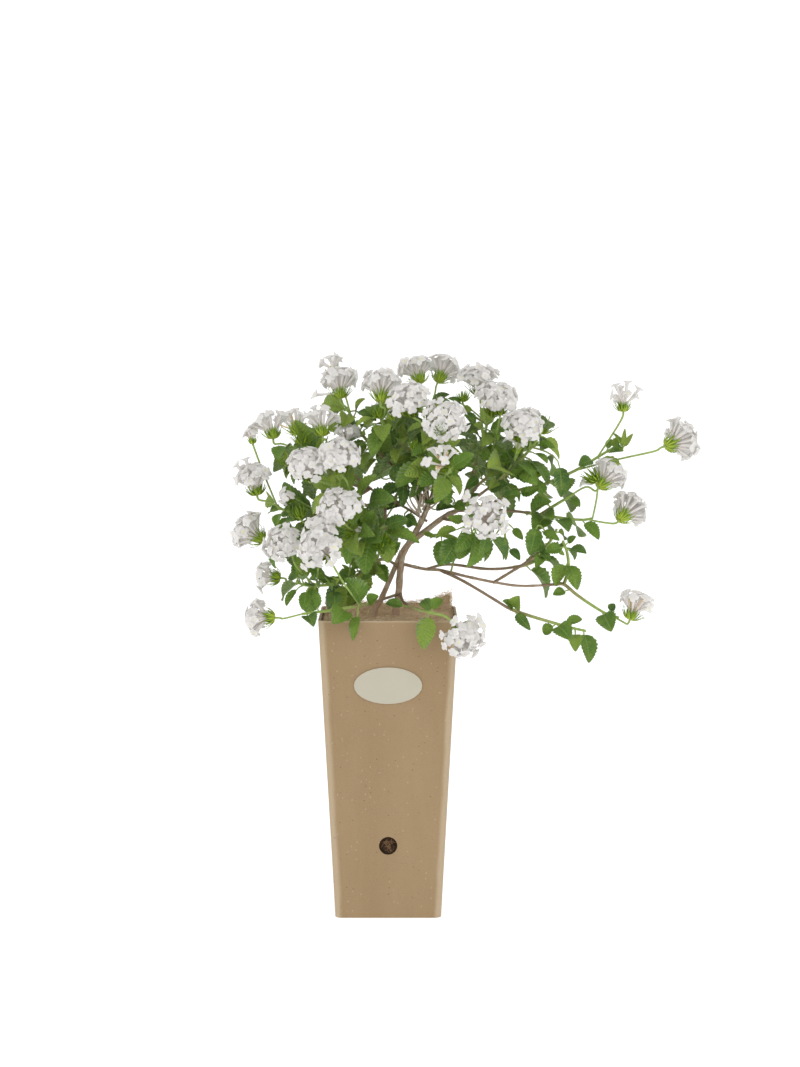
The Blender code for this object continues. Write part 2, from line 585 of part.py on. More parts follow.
def outward(thing):
    """Turns every face of a closed mesh outwards."""
    bm = bmesh.new()
    bm.from_mesh(thing.data)
    bmesh.ops.recalc_face_normals(bm, faces=bm.faces)
    bm.to_mesh(thing.data)
    bm.free()


def frame_of(axis):
    """Two directions across an axis."""
    axis = unit(axis)
    a = unit(np.cross(axis, (0.3, 0.9, 0.1) if abs(axis[1]) < 0.9 else (1, 0, 0)))
    return a, np.cross(axis, a), axis


def star_ring(at, axis, reach, rise):
    """The rim of a cup of pointed bracts: tips and the notches between them, and their angles."""
    a, b, c = frame_of(axis)
    turns = [math.pi * k / BRACTS - math.pi for k in range(2 * BRACTS)]
    points = []
    for k, turn in enumerate(turns):
        far, high = (reach, rise) if k % 2 else (reach * NOTCH, rise * NOTCH / 2)
        points.append(at + (a * math.cos(turn) + b * math.sin(turn)) * far + c * high)
    return points, turns


def stalk_and_bracts(name, path, axis, reach, rise, folder):
    """A three-sided flower stalk that opens at its end into a star-shaped cup of bracts."""
    points, faces = [], []
    sides = 3
    corners = [math.tau * (k + 0.5) / sides - math.pi for k in range(sides)]
    for i, spot in enumerate(path):
        last = i == len(path) - 1
        a, b, c = frame_of(axis if last else path[i + 1] - path[max(i - 1, 0)])
        points += [spot + (a * math.cos(turn) + b * math.sin(turn)) * STALK for turn in corners]
    for i in range(0, sides * (len(path) - 1), sides):
        for k in range(sides):
            m = (k + 1) % sides
            faces.append((i + k, i + m, i + sides + m, i + sides + k))
    faces.append(tuple(range(sides))[::-1])
    floor = path[-1] + unit(axis) * CUP_DEPTH
    rim, turns = star_ring(floor, axis, reach, rise)
    first = len(points)
    ring = list(range(first, first + len(rim)))
    points += rim + [floor]
    faces += [f[::-1] for f in between(list(range(first - sides, first)), corners, ring, turns)]
    faces += [(x, y, first + len(rim)) for x, y in zip(ring, ring[1:] + ring[:1])]
    thing = solid(name, points, faces, folder)
    outward(thing)
    return thing


def bud(name, at, axis, size, folder):
    """A green bud: a star of bracts closed over into a point."""
    rim, turns = star_ring(at, axis, size, size * 0.8)
    points = rim + [at - unit(axis) * BUD_ROOT, at + unit(axis) * size * 1.1]
    ring = list(range(len(rim)))
    faces = []
    for x, y in zip(ring, ring[1:] + ring[:1]):
        faces.append((y, x, len(rim)))
        faces.append((x, y, len(rim) + 1))
    return solid(name, points, faces, folder)


def floret_directions(count, rng):
    """Directions of the florets of a head: a sunflower spiral over the dome."""
    k = np.arange(count)
    high = 0.98 - 0.84 * (k + 0.35) / count
    turn = k * math.pi * (3 - math.sqrt(5)) + rng.uniform(0, 6)
    out = np.sqrt(1 - high**2)
    d = np.stack([out * np.cos(turn), out * np.sin(turn), high], 1) + rng.normal(0, 0.05, (count, 3))
    return d / np.linalg.norm(d, axis=1)[:, None]


def floret_head(name, at, facing, radius, count, seed, folder, finish):
    """A flower head: a core whose every cell flares out to a four-lobed floret with a sunk throat."""
    rng = np.random.default_rng(seed)
    a, b, c = frame_of(facing)
    middle = head_middle(at, facing, radius)
    stretch = np.stack([a * radius, b * radius, c * radius * DOME_HEIGHT])
    spots = np.vstack([floret_directions(count, rng), [(0, 0, -1)]])
    hull = bmesh.new()
    for d in spots:
        hull.verts.new(d)
    hull.verts.index_update()
    bmesh.ops.convex_hull(hull, input=hull.verts)
    hull.normal_update()
    hull.verts.ensure_lookup_table()
    corners = {}
    points = []
    for f in hull.faces:
        n = np.array(f.normal)
        corners[f] = len(points)
        points.append(middle + (n * (CORE if n[2] > -0.2 else CORE_UNDER)) @ stretch)
    faces = []
    for v in hull.verts:
        d = unit(v.co)
        p = unit(np.cross(d, (0.21, 0.97, 0.11)))
        q = np.cross(d, p)
        ring = sorted(v.link_faces, key=lambda f: math.atan2(np.dot(f.normal, q), np.dot(f.normal, p)))
        angles = [math.atan2(np.dot(f.normal, q), np.dot(f.normal, p)) for f in ring]
        cell = [corners[f] for f in ring]
        if d[2] < -0.99:
            points.append(at + unit(facing) * CLEAR)
            faces += [(x, y, len(points) - 1) for x, y in zip(cell, cell[1:] + cell[:1])]
            continue
        roll = rng.uniform(0, math.pi / 4)
        out = 1 + rng.uniform(-0.06, 0.05)
        rim, turns = [], []
        for k in range(8):
            turn = -math.pi + roll + k * math.pi / 4
            u = math.cos(turn) * p + math.sin(turn) * q
            edges = [(1 - d @ e) / (u @ e) for e in spots if u @ e > 0.05 and abs(1 - d @ e) > 1e-6]
            far = min(min(edges), WIDEST) * (LOBE if k % 2 else GAP)
            rim.append(len(points))
            turns.append(turn)
            points.append(middle + (unit(d + u * far) * out) @ stretch)
        throat = len(points)
        points.append(middle + (d * THROAT * out) @ stretch)
        faces += [(x, y, throat) for x, y in zip(rim, rim[1:] + rim[:1])]
        faces += between(cell, angles, rim, turns)
    hull.free()
    return solid(name, points, faces, folder, finish)


def between(inner, inner_turns, outer, outer_turns):
    """Triangles from one ring to the ring outside it, taken in the order of their angles."""
    steps = [(t, 0, i) for i, t in enumerate(inner_turns)]
    steps += [(t, 1, i) for i, t in enumerate(outer_turns)]
    i, o = len(inner) - 1, len(outer) - 1
    faces = []
    for turn, kind, n in sorted(steps):
        if kind == 0:
            faces.append((inner[i], inner[n], outer[o]))
            i = n
        else:
            faces.append((inner[i], outer[n], outer[o]))
            o = n
    return faces


def fuse(name, things, folder, finish):
    """Joins overlapping solids into one closed body, and drops loose scraps."""
    group = bpy.data.collections.new(name + "_parts")
    first = things[0]
    for thing in things[1:]:
        for holder in list(thing.users_collection):
            holder.objects.unlink(thing)
        group.objects.link(thing)
    bpy.context.scene.collection.children.link(group)
    if len(things) > 1:
        join = first.modifiers.new("Fuse", "BOOLEAN")
        join.operation = "UNION"
        join.operand_type = "COLLECTION"
        join.collection = group
        join.solver = "MANIFOLD"
    bpy.context.view_layer.update()
    mesh = bpy.data.meshes.new_from_object(first.evaluated_get(bpy.context.evaluated_depsgraph_get()))
    for thing in things:
        bpy.data.objects.remove(thing)
    bpy.data.collections.remove(group)
    made = from_bmesh(name, in_triangles(mesh), folder, finish)
    bpy.data.meshes.remove(mesh)
    return made


def in_triangles(mesh):
    """The mesh split into triangles, in the first way that gives no two of them the same diagonal."""
    for way in ("BEAUTY", "FIXED", "ALTERNATE", "SHORT_EDGE", "LONG_EDGE"):
        bm = bmesh.new()
        bm.from_mesh(mesh)
        bmesh.ops.triangulate(bm, faces=bm.faces, quad_method=way)
        keep_largest(bm)
        if all(edge.is_manifold for edge in bm.edges):
            break
    return bm


def keep_largest(bm):
    """Deletes every shell but the one with the most faces."""
    left = set(bm.faces)
    shells = []
    while left:
        queue = [left.pop()]
        shell = list(queue)
        while queue:
            for e in queue.pop().edges:
                for f in e.link_faces:
                    if f in left:
                        left.remove(f)
                        queue.append(f)
                        shell.append(f)
        shells.append(shell)
    shells.sort(key=len)
    scraps = [f for shell in shells[:-1] for f in shell]
    bmesh.ops.delete(bm, geom=scraps, context="FACES")


# Holder

def box_half(z):
    """Half the sleeve's outer width at a height."""
    return (SLEEVE_BOTTOM + (SLEEVE_TOP - SLEEVE_BOTTOM) * z / SLEEVE_HEIGHT) / 2


def tapered_box(low, high, inset, radius):
    """A box with the sleeve's taper between two heights, set in from its faces, its upright edges round."""
    bm = bmesh.new()
    bmesh.ops.create_cube(bm, size=2.0)
    for v in bm.verts:
        z = high if v.co.z > 0 else low
        half = box_half(z) - inset
        v.co = Vector((v.co.x * half, v.co.y * half, z)) * MM
    folds = [e for e in bm.edges if abs(e.verts[0].co.z - e.verts[1].co.z) > MM]
    bmesh.ops.bevel(bm, geom=folds, offset=radius * MM, segments=4, profile=0.5, affect="EDGES")
    return bm


def cylinder(name, radius, height, sides, folder):
    """A closed cylinder round Z, centred on the origin."""
    bm = bmesh.new()
    bmesh.ops.create_cone(bm, cap_ends=True, segments=sides, radius1=radius * MM, radius2=radius * MM,
                          depth=height * MM)
    return from_bmesh(name, bm, folder)


def cut(thing, cutter):
    """Cuts a hole in a piece with a cutter that stays hidden in the file."""
    cutter.hide_render = True
    cutter.display_type = "WIRE"
    hole = thing.modifiers.new("Hole", "BOOLEAN")
    hole.operation = "DIFFERENCE"
    hole.object = cutter


def make_sleeve(folder, cutters):
    """The cardboard box: an open tapered shell with its board's thickness and the hole in its front."""
    bm = tapered_box(0.0, SLEEVE_HEIGHT, 0.0, FOLD_RADIUS)
    bm.normal_update()
    top = [f for f in bm.faces if f.normal.z > 0.9]
    bmesh.ops.delete(bm, geom=top, context="FACES")
    thing = from_bmesh("sleeve", bm, folder, material("cardboard", (0.40, 0.28, 0.16), 0.85))
    wall = thing.modifiers.new("Board", "SOLIDIFY")
    wall.thickness = BOARD * MM
    wall.offset = -1
    wall.use_even_offset = True
    punch = cylinder("front_hole_cutter", HOLE_RADIUS, 12.0, 24, cutters)
    punch.rotation_euler = (math.pi / 2, 0, 0)
    punch.location = Vector((0, -box_half(HOLE_HEIGHT), HOLE_HEIGHT)) * MM
    cut(thing, punch)


def make_label(folder):
    """The bare oval sticker, which lies along the leaning front face."""
    thing = cylinder("label", 1.0, 1.0, 28, folder)
    thing.data.materials.append(material("label_paper", (0.57, 0.53, 0.42), 0.7))
    lean = math.atan2((SLEEVE_TOP - SLEEVE_BOTTOM) / 2, SLEEVE_HEIGHT)
    for v in thing.data.vertices:
        v.co = Vector((v.co.x * LABEL_WIDTH / 2, v.co.y * LABEL_HEIGHT / 2, v.co.z * LABEL_THICK))
    thing.rotation_euler = (math.pi / 2 + lean, 0, 0)
    off = CLEAR + LABEL_THICK / 2
    thing.location = Vector((0, -box_half(LABEL_CENTRE) - off * math.cos(lean),
                             LABEL_CENTRE - off * math.sin(lean))) * MM


def stem_holes(low, high, cutters, name):
    """A cutter for each of the two stems that stand in the soil."""
    made = []
    for k, (start, end, points) in enumerate(BRANCHES[:2]):
        foot = seen(*points[0])
        punch = cylinder(f"{name}_{k + 1}", start + STEM_HOLE, high - low, 12, cutters)
        punch.location = Vector((foot[0], foot[1], (low + high) / 2)) * MM
        made.append(punch)
    return made


def make_soil(folder, cutters):
    """The root ball, with a plain hole for each stem."""
    bm = tapered_box(BOARD + CLEAR, SOIL_TOP, BOARD + CLEAR + 0.05, FOLD_RADIUS)
    thing = from_bmesh("soil", bm, folder, material("soil", (0.035, 0.022, 0.014), 0.95))
    for punch in stem_holes(BRANCH_FOOT - SUNK - CLEAR, SOIL_TOP + 5, cutters, "soil_hole_cutter"):
        cut(thing, punch)


def mat_height(x, y):
    """The middle of the mat's thickness: a low wave, with the back edge and the corners turned up."""
    u, v = x / MAT_REACH, y / MAT_REACH
    wave = 0.7 * np.sin(3.1 * u + 1.0) * np.cos(2.3 * v) + 0.5 * np.sin(5.0 * v + 2.0 * u)
    back = 5.0 * np.clip((v - 0.45) / 0.55, 0, 1) ** 2
    corners = 2.5 * np.clip(np.abs(u) - 0.55, 0, 1) ** 1.5 * 3.0 * (0.55 + 0.45 * v)
    right = 2.2 * np.clip(u - 0.6, 0, 1) * np.clip(v - 0.4, 0, 1) * 6.0
    return MAT_MIDDLE + wave + back + corners + right


def make_mat(folder, cutters):
    """The fibre mat: a waved sheet with its thickness, and a hole for each stem."""
    count = 7
    x, y = np.meshgrid(np.linspace(-MAT_REACH, MAT_REACH, count),
                       np.linspace(-MAT_REACH, MAT_REACH, count))
    points = np.stack([x.ravel(), y.ravel(), mat_height(x, y).ravel()], 1)
    faces = [(r * count + c, r * count + c + 1, (r + 1) * count + c + 1, (r + 1) * count + c)
             for r in range(count - 1) for c in range(count - 1)]
    thing = solid("mat", points, faces, folder, material("coir", (0.24, 0.16, 0.09), 0.95))
    wall = thing.modifiers.new("Felt", "SOLIDIFY")
    wall.thickness = MAT_THICK * MM
    wall.offset = 0
    for punch in stem_holes(SOIL_TOP, MAT_MIDDLE + 12, cutters, "mat_hole_cutter"):
        cut(thing, punch)


# Plant

def sunk(path):
    """A path whose root is moved back into what it grows from."""
    return np.vstack([path[:1] - unit(path[1] - path[0]) * SUNK, path[1:]])


def make_trunk(folder, scratch):
    """All the brown wood: the two stems, the branches and the twigs that carry the green sprays."""
    things = [tube(f"branch_{k}", sunk(np.array([seen(*p) for p in points])), start, end,
                   6 if start > THIN else 4, scratch)
              for k, (start, end, points) in enumerate(BRANCHES)]
    things += [tube(spray.name + "_twig", sunk(spray.twig_path), TWIG_START, spray.thick, 4, scratch)
               for spray in SPRAYS]
    fuse("trunk", things, folder, material("bark", (0.20, 0.13, 0.08), 0.85))


def make_spray(spray, folder, scratch, finish):
    """One green spray: stems, flower stalks, bracts, buds and leaves joined into one body."""
    things = []
    for i, path in enumerate(spray.stem_paths):
        shown = path if i == 0 else sunk(path)
        things.append(tube(f"{spray.name}_stem_{i}", shown, spray.thick, spray.thick * 0.75, 4, scratch))
    for i, (name, stalk, facing, radius, florets) in enumerate(spray.stalks):
        end = np.vstack([stalk[:-1], stalk[-1:] - facing * CUP_DEPTH])
        things.append(stalk_and_bracts(f"{spray.name}_stalk_{i}", sunk(end), facing,
                                       radius * CUP_REACH, radius * CUP_RISE, scratch))
    for i, (place, facing, size) in enumerate(spray.buds):
        every = np.vstack(spray.stem_paths)
        spot = seen(*place)
        foot = nearest(every, spot)
        at = spot if np.linalg.norm(spot - foot) > 4 else foot
        if np.linalg.norm(at - foot) > 0.5:
            things.append(tube(f"{spray.name}_bud_stalk_{i}", sunk(np.array([foot, (foot + at) / 2, at])),
                               BUD_STALK, BUD_STALK, 4, scratch))
        things.append(bud(f"{spray.name}_bud_{i}", at, unit(facing), size, scratch))
    for i, leaf in enumerate(spray.blades):
        things.append(blade(f"{spray.name}_leaf_{i}", leaf, scratch))
    fuse(spray.name, things, folder, finish)


def build():
    """Clears the file and builds the whole part."""
    for thing in list(bpy.data.objects):
        bpy.data.objects.remove(thing)
    folder = bpy.data.collections.new("lantana")
    cutters = bpy.data.collections.new("cutters")
    scratch = bpy.data.collections.new("scratch")
    for holder in (folder, cutters, scratch):
        bpy.context.scene.collection.children.link(holder)
    make_sleeve(folder, cutters)
    make_label(folder)
    make_soil(folder, cutters)
    make_mat(folder, cutters)
    plan()
    make_trunk(folder, scratch)
    green = material("leaf", (0.07, 0.15, 0.03), 0.6)
    white = material("petal", (0.80, 0.79, 0.78), 0.6)
    seed = 0
    for spray in SPRAYS:
        make_spray(spray, folder, scratch, green)
        named = {}
        for name, stalk, facing, radius, florets in spray.stalks:
            seed += 1
            one = floret_head(f"{name}_{seed}", stalk[-1], facing, radius, florets, seed, scratch, white)
            named.setdefault(name, []).append(one)
        for name, things in named.items():
            fuse(name, things, folder, white)
    bpy.data.collections.remove(scratch)


build()
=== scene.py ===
"""A white trailing lantana in a tall cardboard sleeve.

Places are worked out in millimetres and turned into metres when a mesh is made.
"""

import math

import bpy
import numpy as np
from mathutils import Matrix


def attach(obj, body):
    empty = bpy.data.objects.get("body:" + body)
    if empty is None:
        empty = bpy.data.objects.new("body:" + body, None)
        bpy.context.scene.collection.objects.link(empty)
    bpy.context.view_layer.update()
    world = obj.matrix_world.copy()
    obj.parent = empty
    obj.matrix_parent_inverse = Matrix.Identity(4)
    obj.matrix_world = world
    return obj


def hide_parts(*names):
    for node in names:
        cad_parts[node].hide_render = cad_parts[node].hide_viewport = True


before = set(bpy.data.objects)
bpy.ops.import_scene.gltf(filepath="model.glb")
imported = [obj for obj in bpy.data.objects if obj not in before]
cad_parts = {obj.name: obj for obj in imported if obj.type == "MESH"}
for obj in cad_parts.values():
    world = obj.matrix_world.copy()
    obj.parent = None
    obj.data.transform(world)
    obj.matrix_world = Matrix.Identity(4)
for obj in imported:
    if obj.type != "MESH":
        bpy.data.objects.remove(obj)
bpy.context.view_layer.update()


# Studio: a round sweep of white paper that rises on every side, a lamp high on the left, a weaker one
# on the right and a broad one in front. The camera stands a little above the flowers and looks down on
# them slightly.

CAMERA_PLACE = (0.00786, -1.847, 0.405)
CAMERA_TILT = math.radians(4.68)
CAMERA_LENS = 93.2
PAPER_FLAT = 2.8
PAPER_TURN = 1.0
PAPER_RISE = 4.5
PAPER_DROP = 0.0002
PAPER_GREY = 0.45
PAPER_GLOW = 0.74
PAPER_SIDES = 48
TURN_STEPS = 13
SKY_LIGHT = 0.62


def place_in_scene(name, held):
    """A new object that holds a mesh, a lamp or a camera."""
    thing = bpy.data.objects.new(name, held)
    bpy.context.scene.collection.objects.link(thing)
    return thing


def lamp(name, place, aim, size, power):
    """A square soft lamp at a place, turned towards what it lights."""
    light = bpy.data.lights.new(name, "AREA")
    light.size = size
    light.energy = power
    thing = place_in_scene(name, light)
    thing.location = place
    away = np.array(place) - np.array(aim)
    flat = math.hypot(away[0], away[1])
    thing.rotation_euler = (math.atan2(flat, away[2]), 0, math.atan2(away[0], -away[1]))


eye = bpy.data.cameras.new("camera")
eye.lens = CAMERA_LENS
eye.sensor_width = 36
eye.clip_end = 40
camera = place_in_scene("camera", eye)
camera.location = CAMERA_PLACE
camera.rotation_euler = (math.pi / 2 - CAMERA_TILT, 0, 0)
bpy.context.scene.camera = camera
bpy.context.scene.view_settings.view_transform = "Standard"

bend = np.linspace(0, math.pi / 2, TURN_STEPS)
edge = PAPER_FLAT + PAPER_TURN
out = np.concatenate([[0.0], PAPER_FLAT + PAPER_TURN * np.sin(bend), [edge]])[:, None]
rise = np.concatenate([[0.0], PAPER_TURN * (1 - np.cos(bend)), [PAPER_RISE]])[:, None] - PAPER_DROP
turn = np.arange(PAPER_SIDES) * math.tau / PAPER_SIDES
sweep = np.stack(np.broadcast_arrays(out * np.cos(turn), out * np.sin(turn), rise), -1).reshape(-1, 3)
ring, here = np.meshgrid(np.arange(len(out) - 1) * PAPER_SIDES, np.arange(PAPER_SIDES), indexing="ij")
after = (here + 1) % PAPER_SIDES
above = ring + PAPER_SIDES
quads = np.stack([ring + here, above + here, above + after, ring + after], -1).reshape(-1, 4)
paper_mesh = bpy.data.meshes.new("paper_sweep")
paper_mesh.from_pydata(sweep.tolist(), [], quads.tolist())
paper_mesh.shade_smooth()
paper = place_in_scene("paper_sweep", paper_mesh)

paper_white = bpy.data.materials.new("paper_white")
paper_white.use_nodes = True
shade = paper_white.node_tree.nodes["Principled BSDF"]
shade.inputs["Base Color"].default_value = (PAPER_GREY, PAPER_GREY, PAPER_GREY, 1)
shade.inputs["Roughness"].default_value = 0.9
shade.inputs["Emission Color"].default_value = (1, 1, 1, 1)
shade.inputs["Emission Strength"].default_value = PAPER_GLOW
paper_mesh.materials.append(paper_white)

lamp("lamp_left", (-1.6, -1.3, 1.5), (0, 0, 0.25), 1.0, 2.5)
lamp("lamp_right", (1.8, -0.9, 1.0), (0, 0, 0.2), 1.0, 1.5)
lamp("lamp_front", (0.0, -2.6, 1.6), (0, 0, 0.2), 1.6, 3)

sky = bpy.data.worlds.new("sky")
sky.use_nodes = True
glow = sky.node_tree.nodes["Background"]
glow.inputs["Color"].default_value = (1, 1, 1, 1)
glow.inputs["Strength"].default_value = SKY_LIGHT
bpy.context.scene.world = sky


# Sleeve: a tall tapered box of brown recycled cardboard, folded from one sheet, with round folds at its
# upright edges and one punched hole. Its board is matt, flecked with darker and paler fibres, and the
# round folds carry a painted highlight, paler where they catch the light.

MM = 0.001
SLEEVE_HEIGHT = 200.0
SLEEVE_TOP = 92.0
SLEEVE_BOTTOM = 70.5
HOLE_HEIGHT = 49.0
HOLE_RADIUS = 6.1
BOARD_BROWN = (0.308, 0.212, 0.114)
BOARD_DARK = (0.242, 0.160, 0.084)
BOARD_PALE = (0.400, 0.297, 0.182)
# Pale board colour, for the paler fibres and the rim, and for the painted highlight along the folds.
PALE_AND_FOLD_HIGHLIGHT = (0.470, 0.372, 0.256)
FLECK_DARK = (0.110, 0.065, 0.035)


class Tint:
    """What a shader node gives out. Sums and products of tints add the Math nodes that work them out."""

    def __init__(self, tree, socket=None):
        self.tree = tree
        self.socket = socket

    def node(self, kind, put=(), out=0, **settings):
        """Adds a node: its settings first, and then the values or tints at its sockets."""
        made = self.tree.nodes.new("ShaderNode" + kind)
        for name, value in settings.items():
            setattr(made, name, value)
        for name, value in dict(put).items():
            if isinstance(value, Tint):
                self.tree.links.new(value.socket, made.inputs[name])
            else:
                made.inputs[name].default_value = value
        return Tint(self.tree, made.outputs[out])

    def maths(self, how, *others):
        """One Math node that works on this number, and on others if need be."""
        return self.node("Math", dict(enumerate((self, *others))), operation=how)

    def __add__(self, other):
        return self.maths("ADD", other)

    def __sub__(self, other):
        return self.maths("SUBTRACT", other)

    def __mul__(self, other):
        return self.maths("MULTIPLY", other)

    def __rsub__(self, other):
        return self.node("Math", {0: other, 1: self}, operation="SUBTRACT")

    def __abs__(self):
        return self.maths("ABSOLUTE")

    def ramp(self, low, high):
        """0 below low, 1 above high, and a smooth rise between them; high may be the lower one."""
        return self.node("MapRange", {0: self, 1: low, 2: high}, interpolation_type="SMOOTHSTEP")

    def painted(self, under, over):
        """The colour over laid on the colour under, as thick as this tint says."""
        under, over = (c if isinstance(c, Tint) else (*c, 1) for c in (under, over))
        return self.node("Mix", {0: self, 6: under, 7: over}, out=2, data_type="RGBA")

    def faded(self, share, colour):
        """This colour drawn towards another by a share, the same all over."""
        return self.node("Mix", {0: share, 6: self, 7: (*colour, 1)}, out=2, data_type="RGBA")

    def parts(self):
        """The three numbers of a place."""
        split = self.node("SeparateXYZ", {0: self}).socket.node
        return [Tint(self.tree, s) for s in split.outputs]

    def stretched(self, x, y, z):
        """A place with its three numbers multiplied."""
        return self.node("VectorMath", {0: self, 1: (x, y, z)}, operation="MULTIPLY")

    def noise(self, scale, detail=2.0, rough=0.5):
        """Soft random mottling, from 0 to 1, at a place."""
        return self.node("TexNoise", {"Vector": self, "Scale": scale, "Detail": detail, "Roughness": rough})

    def cells(self, scale):
        """The distance to the nearest of scattered points."""
        return self.node("TexVoronoi", {"Vector": self, "Scale": scale})

    def flecks(self, scale, size, share):
        """Spots of a size at a share of the scattered points, drawn by lot."""
        lot = self.node("TexVoronoi", {"Vector": self, "Scale": scale}, out=1).parts()[0]
        return self.cells(scale).ramp(size, size * 0.5) * lot.ramp(share + 0.02, share - 0.02)


class Finish:
    """A material: its shader, and the tint that its patterns start from."""

    def __init__(self, name, roughness, specular=0.5, **constants):
        self.made = bpy.data.materials.new(name)
        self.made.use_nodes = True
        self.start = Tint(self.made.node_tree)
        self.shader = self.made.node_tree.nodes["Principled BSDF"]
        self.shader.inputs["Roughness"].default_value = roughness
        self.shader.inputs["Specular IOR Level"].default_value = specular
        for name, value in constants.items():
            self.shader.inputs[name.replace("_", " ")].default_value = value

    def place(self):
        """The place in metres on the whole object."""
        return self.start.node("TexCoord", out=3)

    def painted_on(self, name):
        """Three numbers painted on the points of a piece."""
        return self.start.node("Attribute", out=1, attribute_name=name)

    def set(self, name, tint):
        self.start.tree.links.new(tint.socket, self.shader.inputs[name])

    def bump(self, height, depth, strength=1.0):
        """Raises the surface by height times depth, in metres."""
        raised = self.start.node("Bump", {"Height": height, "Distance": depth, "Strength": strength})
        self.set("Normal", raised)

    def cover(self, node):
        """Gives this material to one of the frame's own pieces, in place of its plain one."""
        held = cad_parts[node].data.materials
        held.clear()
        held.append(self.made)


board = Finish("cardboard", 0.86, 0.25)
spot = board.place()
x, y, z = spot.parts()
half = z * (0.5 * (SLEEVE_TOP - SLEEVE_BOTTOM) / SLEEVE_HEIGHT) + 0.5 * SLEEVE_BOTTOM * MM
cloud = spot.stretched(1, 1, 0.35).noise(28, 3)
streak = spot.stretched(1, 1, 0.08).noise(320, 2)
fibre = spot.stretched(1, 1, 3).noise(900, 3, 0.7)
specks = spot.stretched(1, 1, 1.5)
dark_flecks = specks.flecks(250, 0.16, 0.26).maths("MAXIMUM", specks.flecks(620, 0.22, 0.22) * 0.6)
pale_flecks = spot.stretched(1.3, 1.3, 1).flecks(250, 0.20, 0.40)
corner = abs(x).maths("MINIMUM", abs(y)) - half
# Painted highlight: a paler strip down the round folds, where they catch the light.
fold_highlight = (corner + spot.stretched(1, 1, 0.3).noise(160, 3) * 0.0024).ramp(-0.0046, -0.0012)
rim = (z + fibre * 0.0006).ramp(0.1989, 0.1996)
brown = (cloud * 0.85 + streak * 0.15).ramp(0.25, 0.75).painted(BOARD_DARK, BOARD_PALE)
brown = brown.faded(0.78, BOARD_BROWN)
brown = (fibre.ramp(0.45, 0.75) * 0.22).painted(brown, BOARD_PALE)
brown = (fibre.ramp(0.52, 0.30) * 0.25).painted(brown, BOARD_DARK)
brown = (fold_highlight * 0.75).painted(brown, PALE_AND_FOLD_HIGHLIGHT)
brown = (dark_flecks * 0.6).painted(brown, FLECK_DARK)
brown = (pale_flecks * 0.5).painted(brown, PALE_AND_FOLD_HIGHLIGHT)
brown = (rim * 0.5).painted(brown, PALE_AND_FOLD_HIGHLIGHT)

board.set("Base Color", brown)
board.bump(fibre * 0.6 + streak * 0.4 + dark_flecks * 0.4, 0.00025, 0.5)
board.cover("sleeve")


# Label: an oval sticker of matt cream paper, glued near the top of the front face and left bare.
# Its cut edge is a little browner, and the paper has a fine tooth.

LABEL_CREAM = (0.452, 0.419, 0.336)
LABEL_PALE = (0.494, 0.458, 0.368)
LABEL_EDGE = (0.470, 0.420, 0.310)
LABEL_WIDTH = 45.0
LABEL_HEIGHT = 24.5
LABEL_CENTRE = 157.0

sticker = Finish("label_paper", 0.62, 0.4)
spot = sticker.place()
x, y, z = spot.parts()
aside = x * (2 / (LABEL_WIDTH * MM))
up = (z - LABEL_CENTRE * MM) * (2 / (LABEL_HEIGHT * MM))
reach = aside * aside + up * up
tooth = spot.noise(1500, 3, 0.6)
cream = (spot.noise(60, 2).ramp(0.3, 0.7) * 0.25).painted(LABEL_CREAM, LABEL_PALE)
cream = ((reach + tooth * 0.02).ramp(0.93, 0.985) * 0.6).painted(cream, LABEL_EDGE)
sticker.set("Base Color", cream)
sticker.bump(tooth, 0.00006, 0.5)
sticker.cover("label")


# Root ball: dark potting soil that the roots hold together, poured round them and damp. Crumbs and
# broken roots of it show behind the punched hole.

SOIL_DARK = (0.020, 0.011, 0.006)
SOIL_BROWN = (0.070, 0.036, 0.018)
ROOT_TAN = (0.190, 0.110, 0.055)
CRUMBS = 150
THREADS = 16

earth = Finish("soil", 0.93, 0.2)
spot = earth.place()
grain = spot.noise(700, 4, 0.65)
dirt = grain.ramp(0.35, 0.70).painted(SOIL_DARK, SOIL_BROWN)
dirt = (spot.cells(380).ramp(0.12, 0.05) * 0.6).painted(dirt, ROOT_TAN)
earth.set("Base Color", dirt)
earth.bump(grain, 0.0008)
earth.cover("soil")


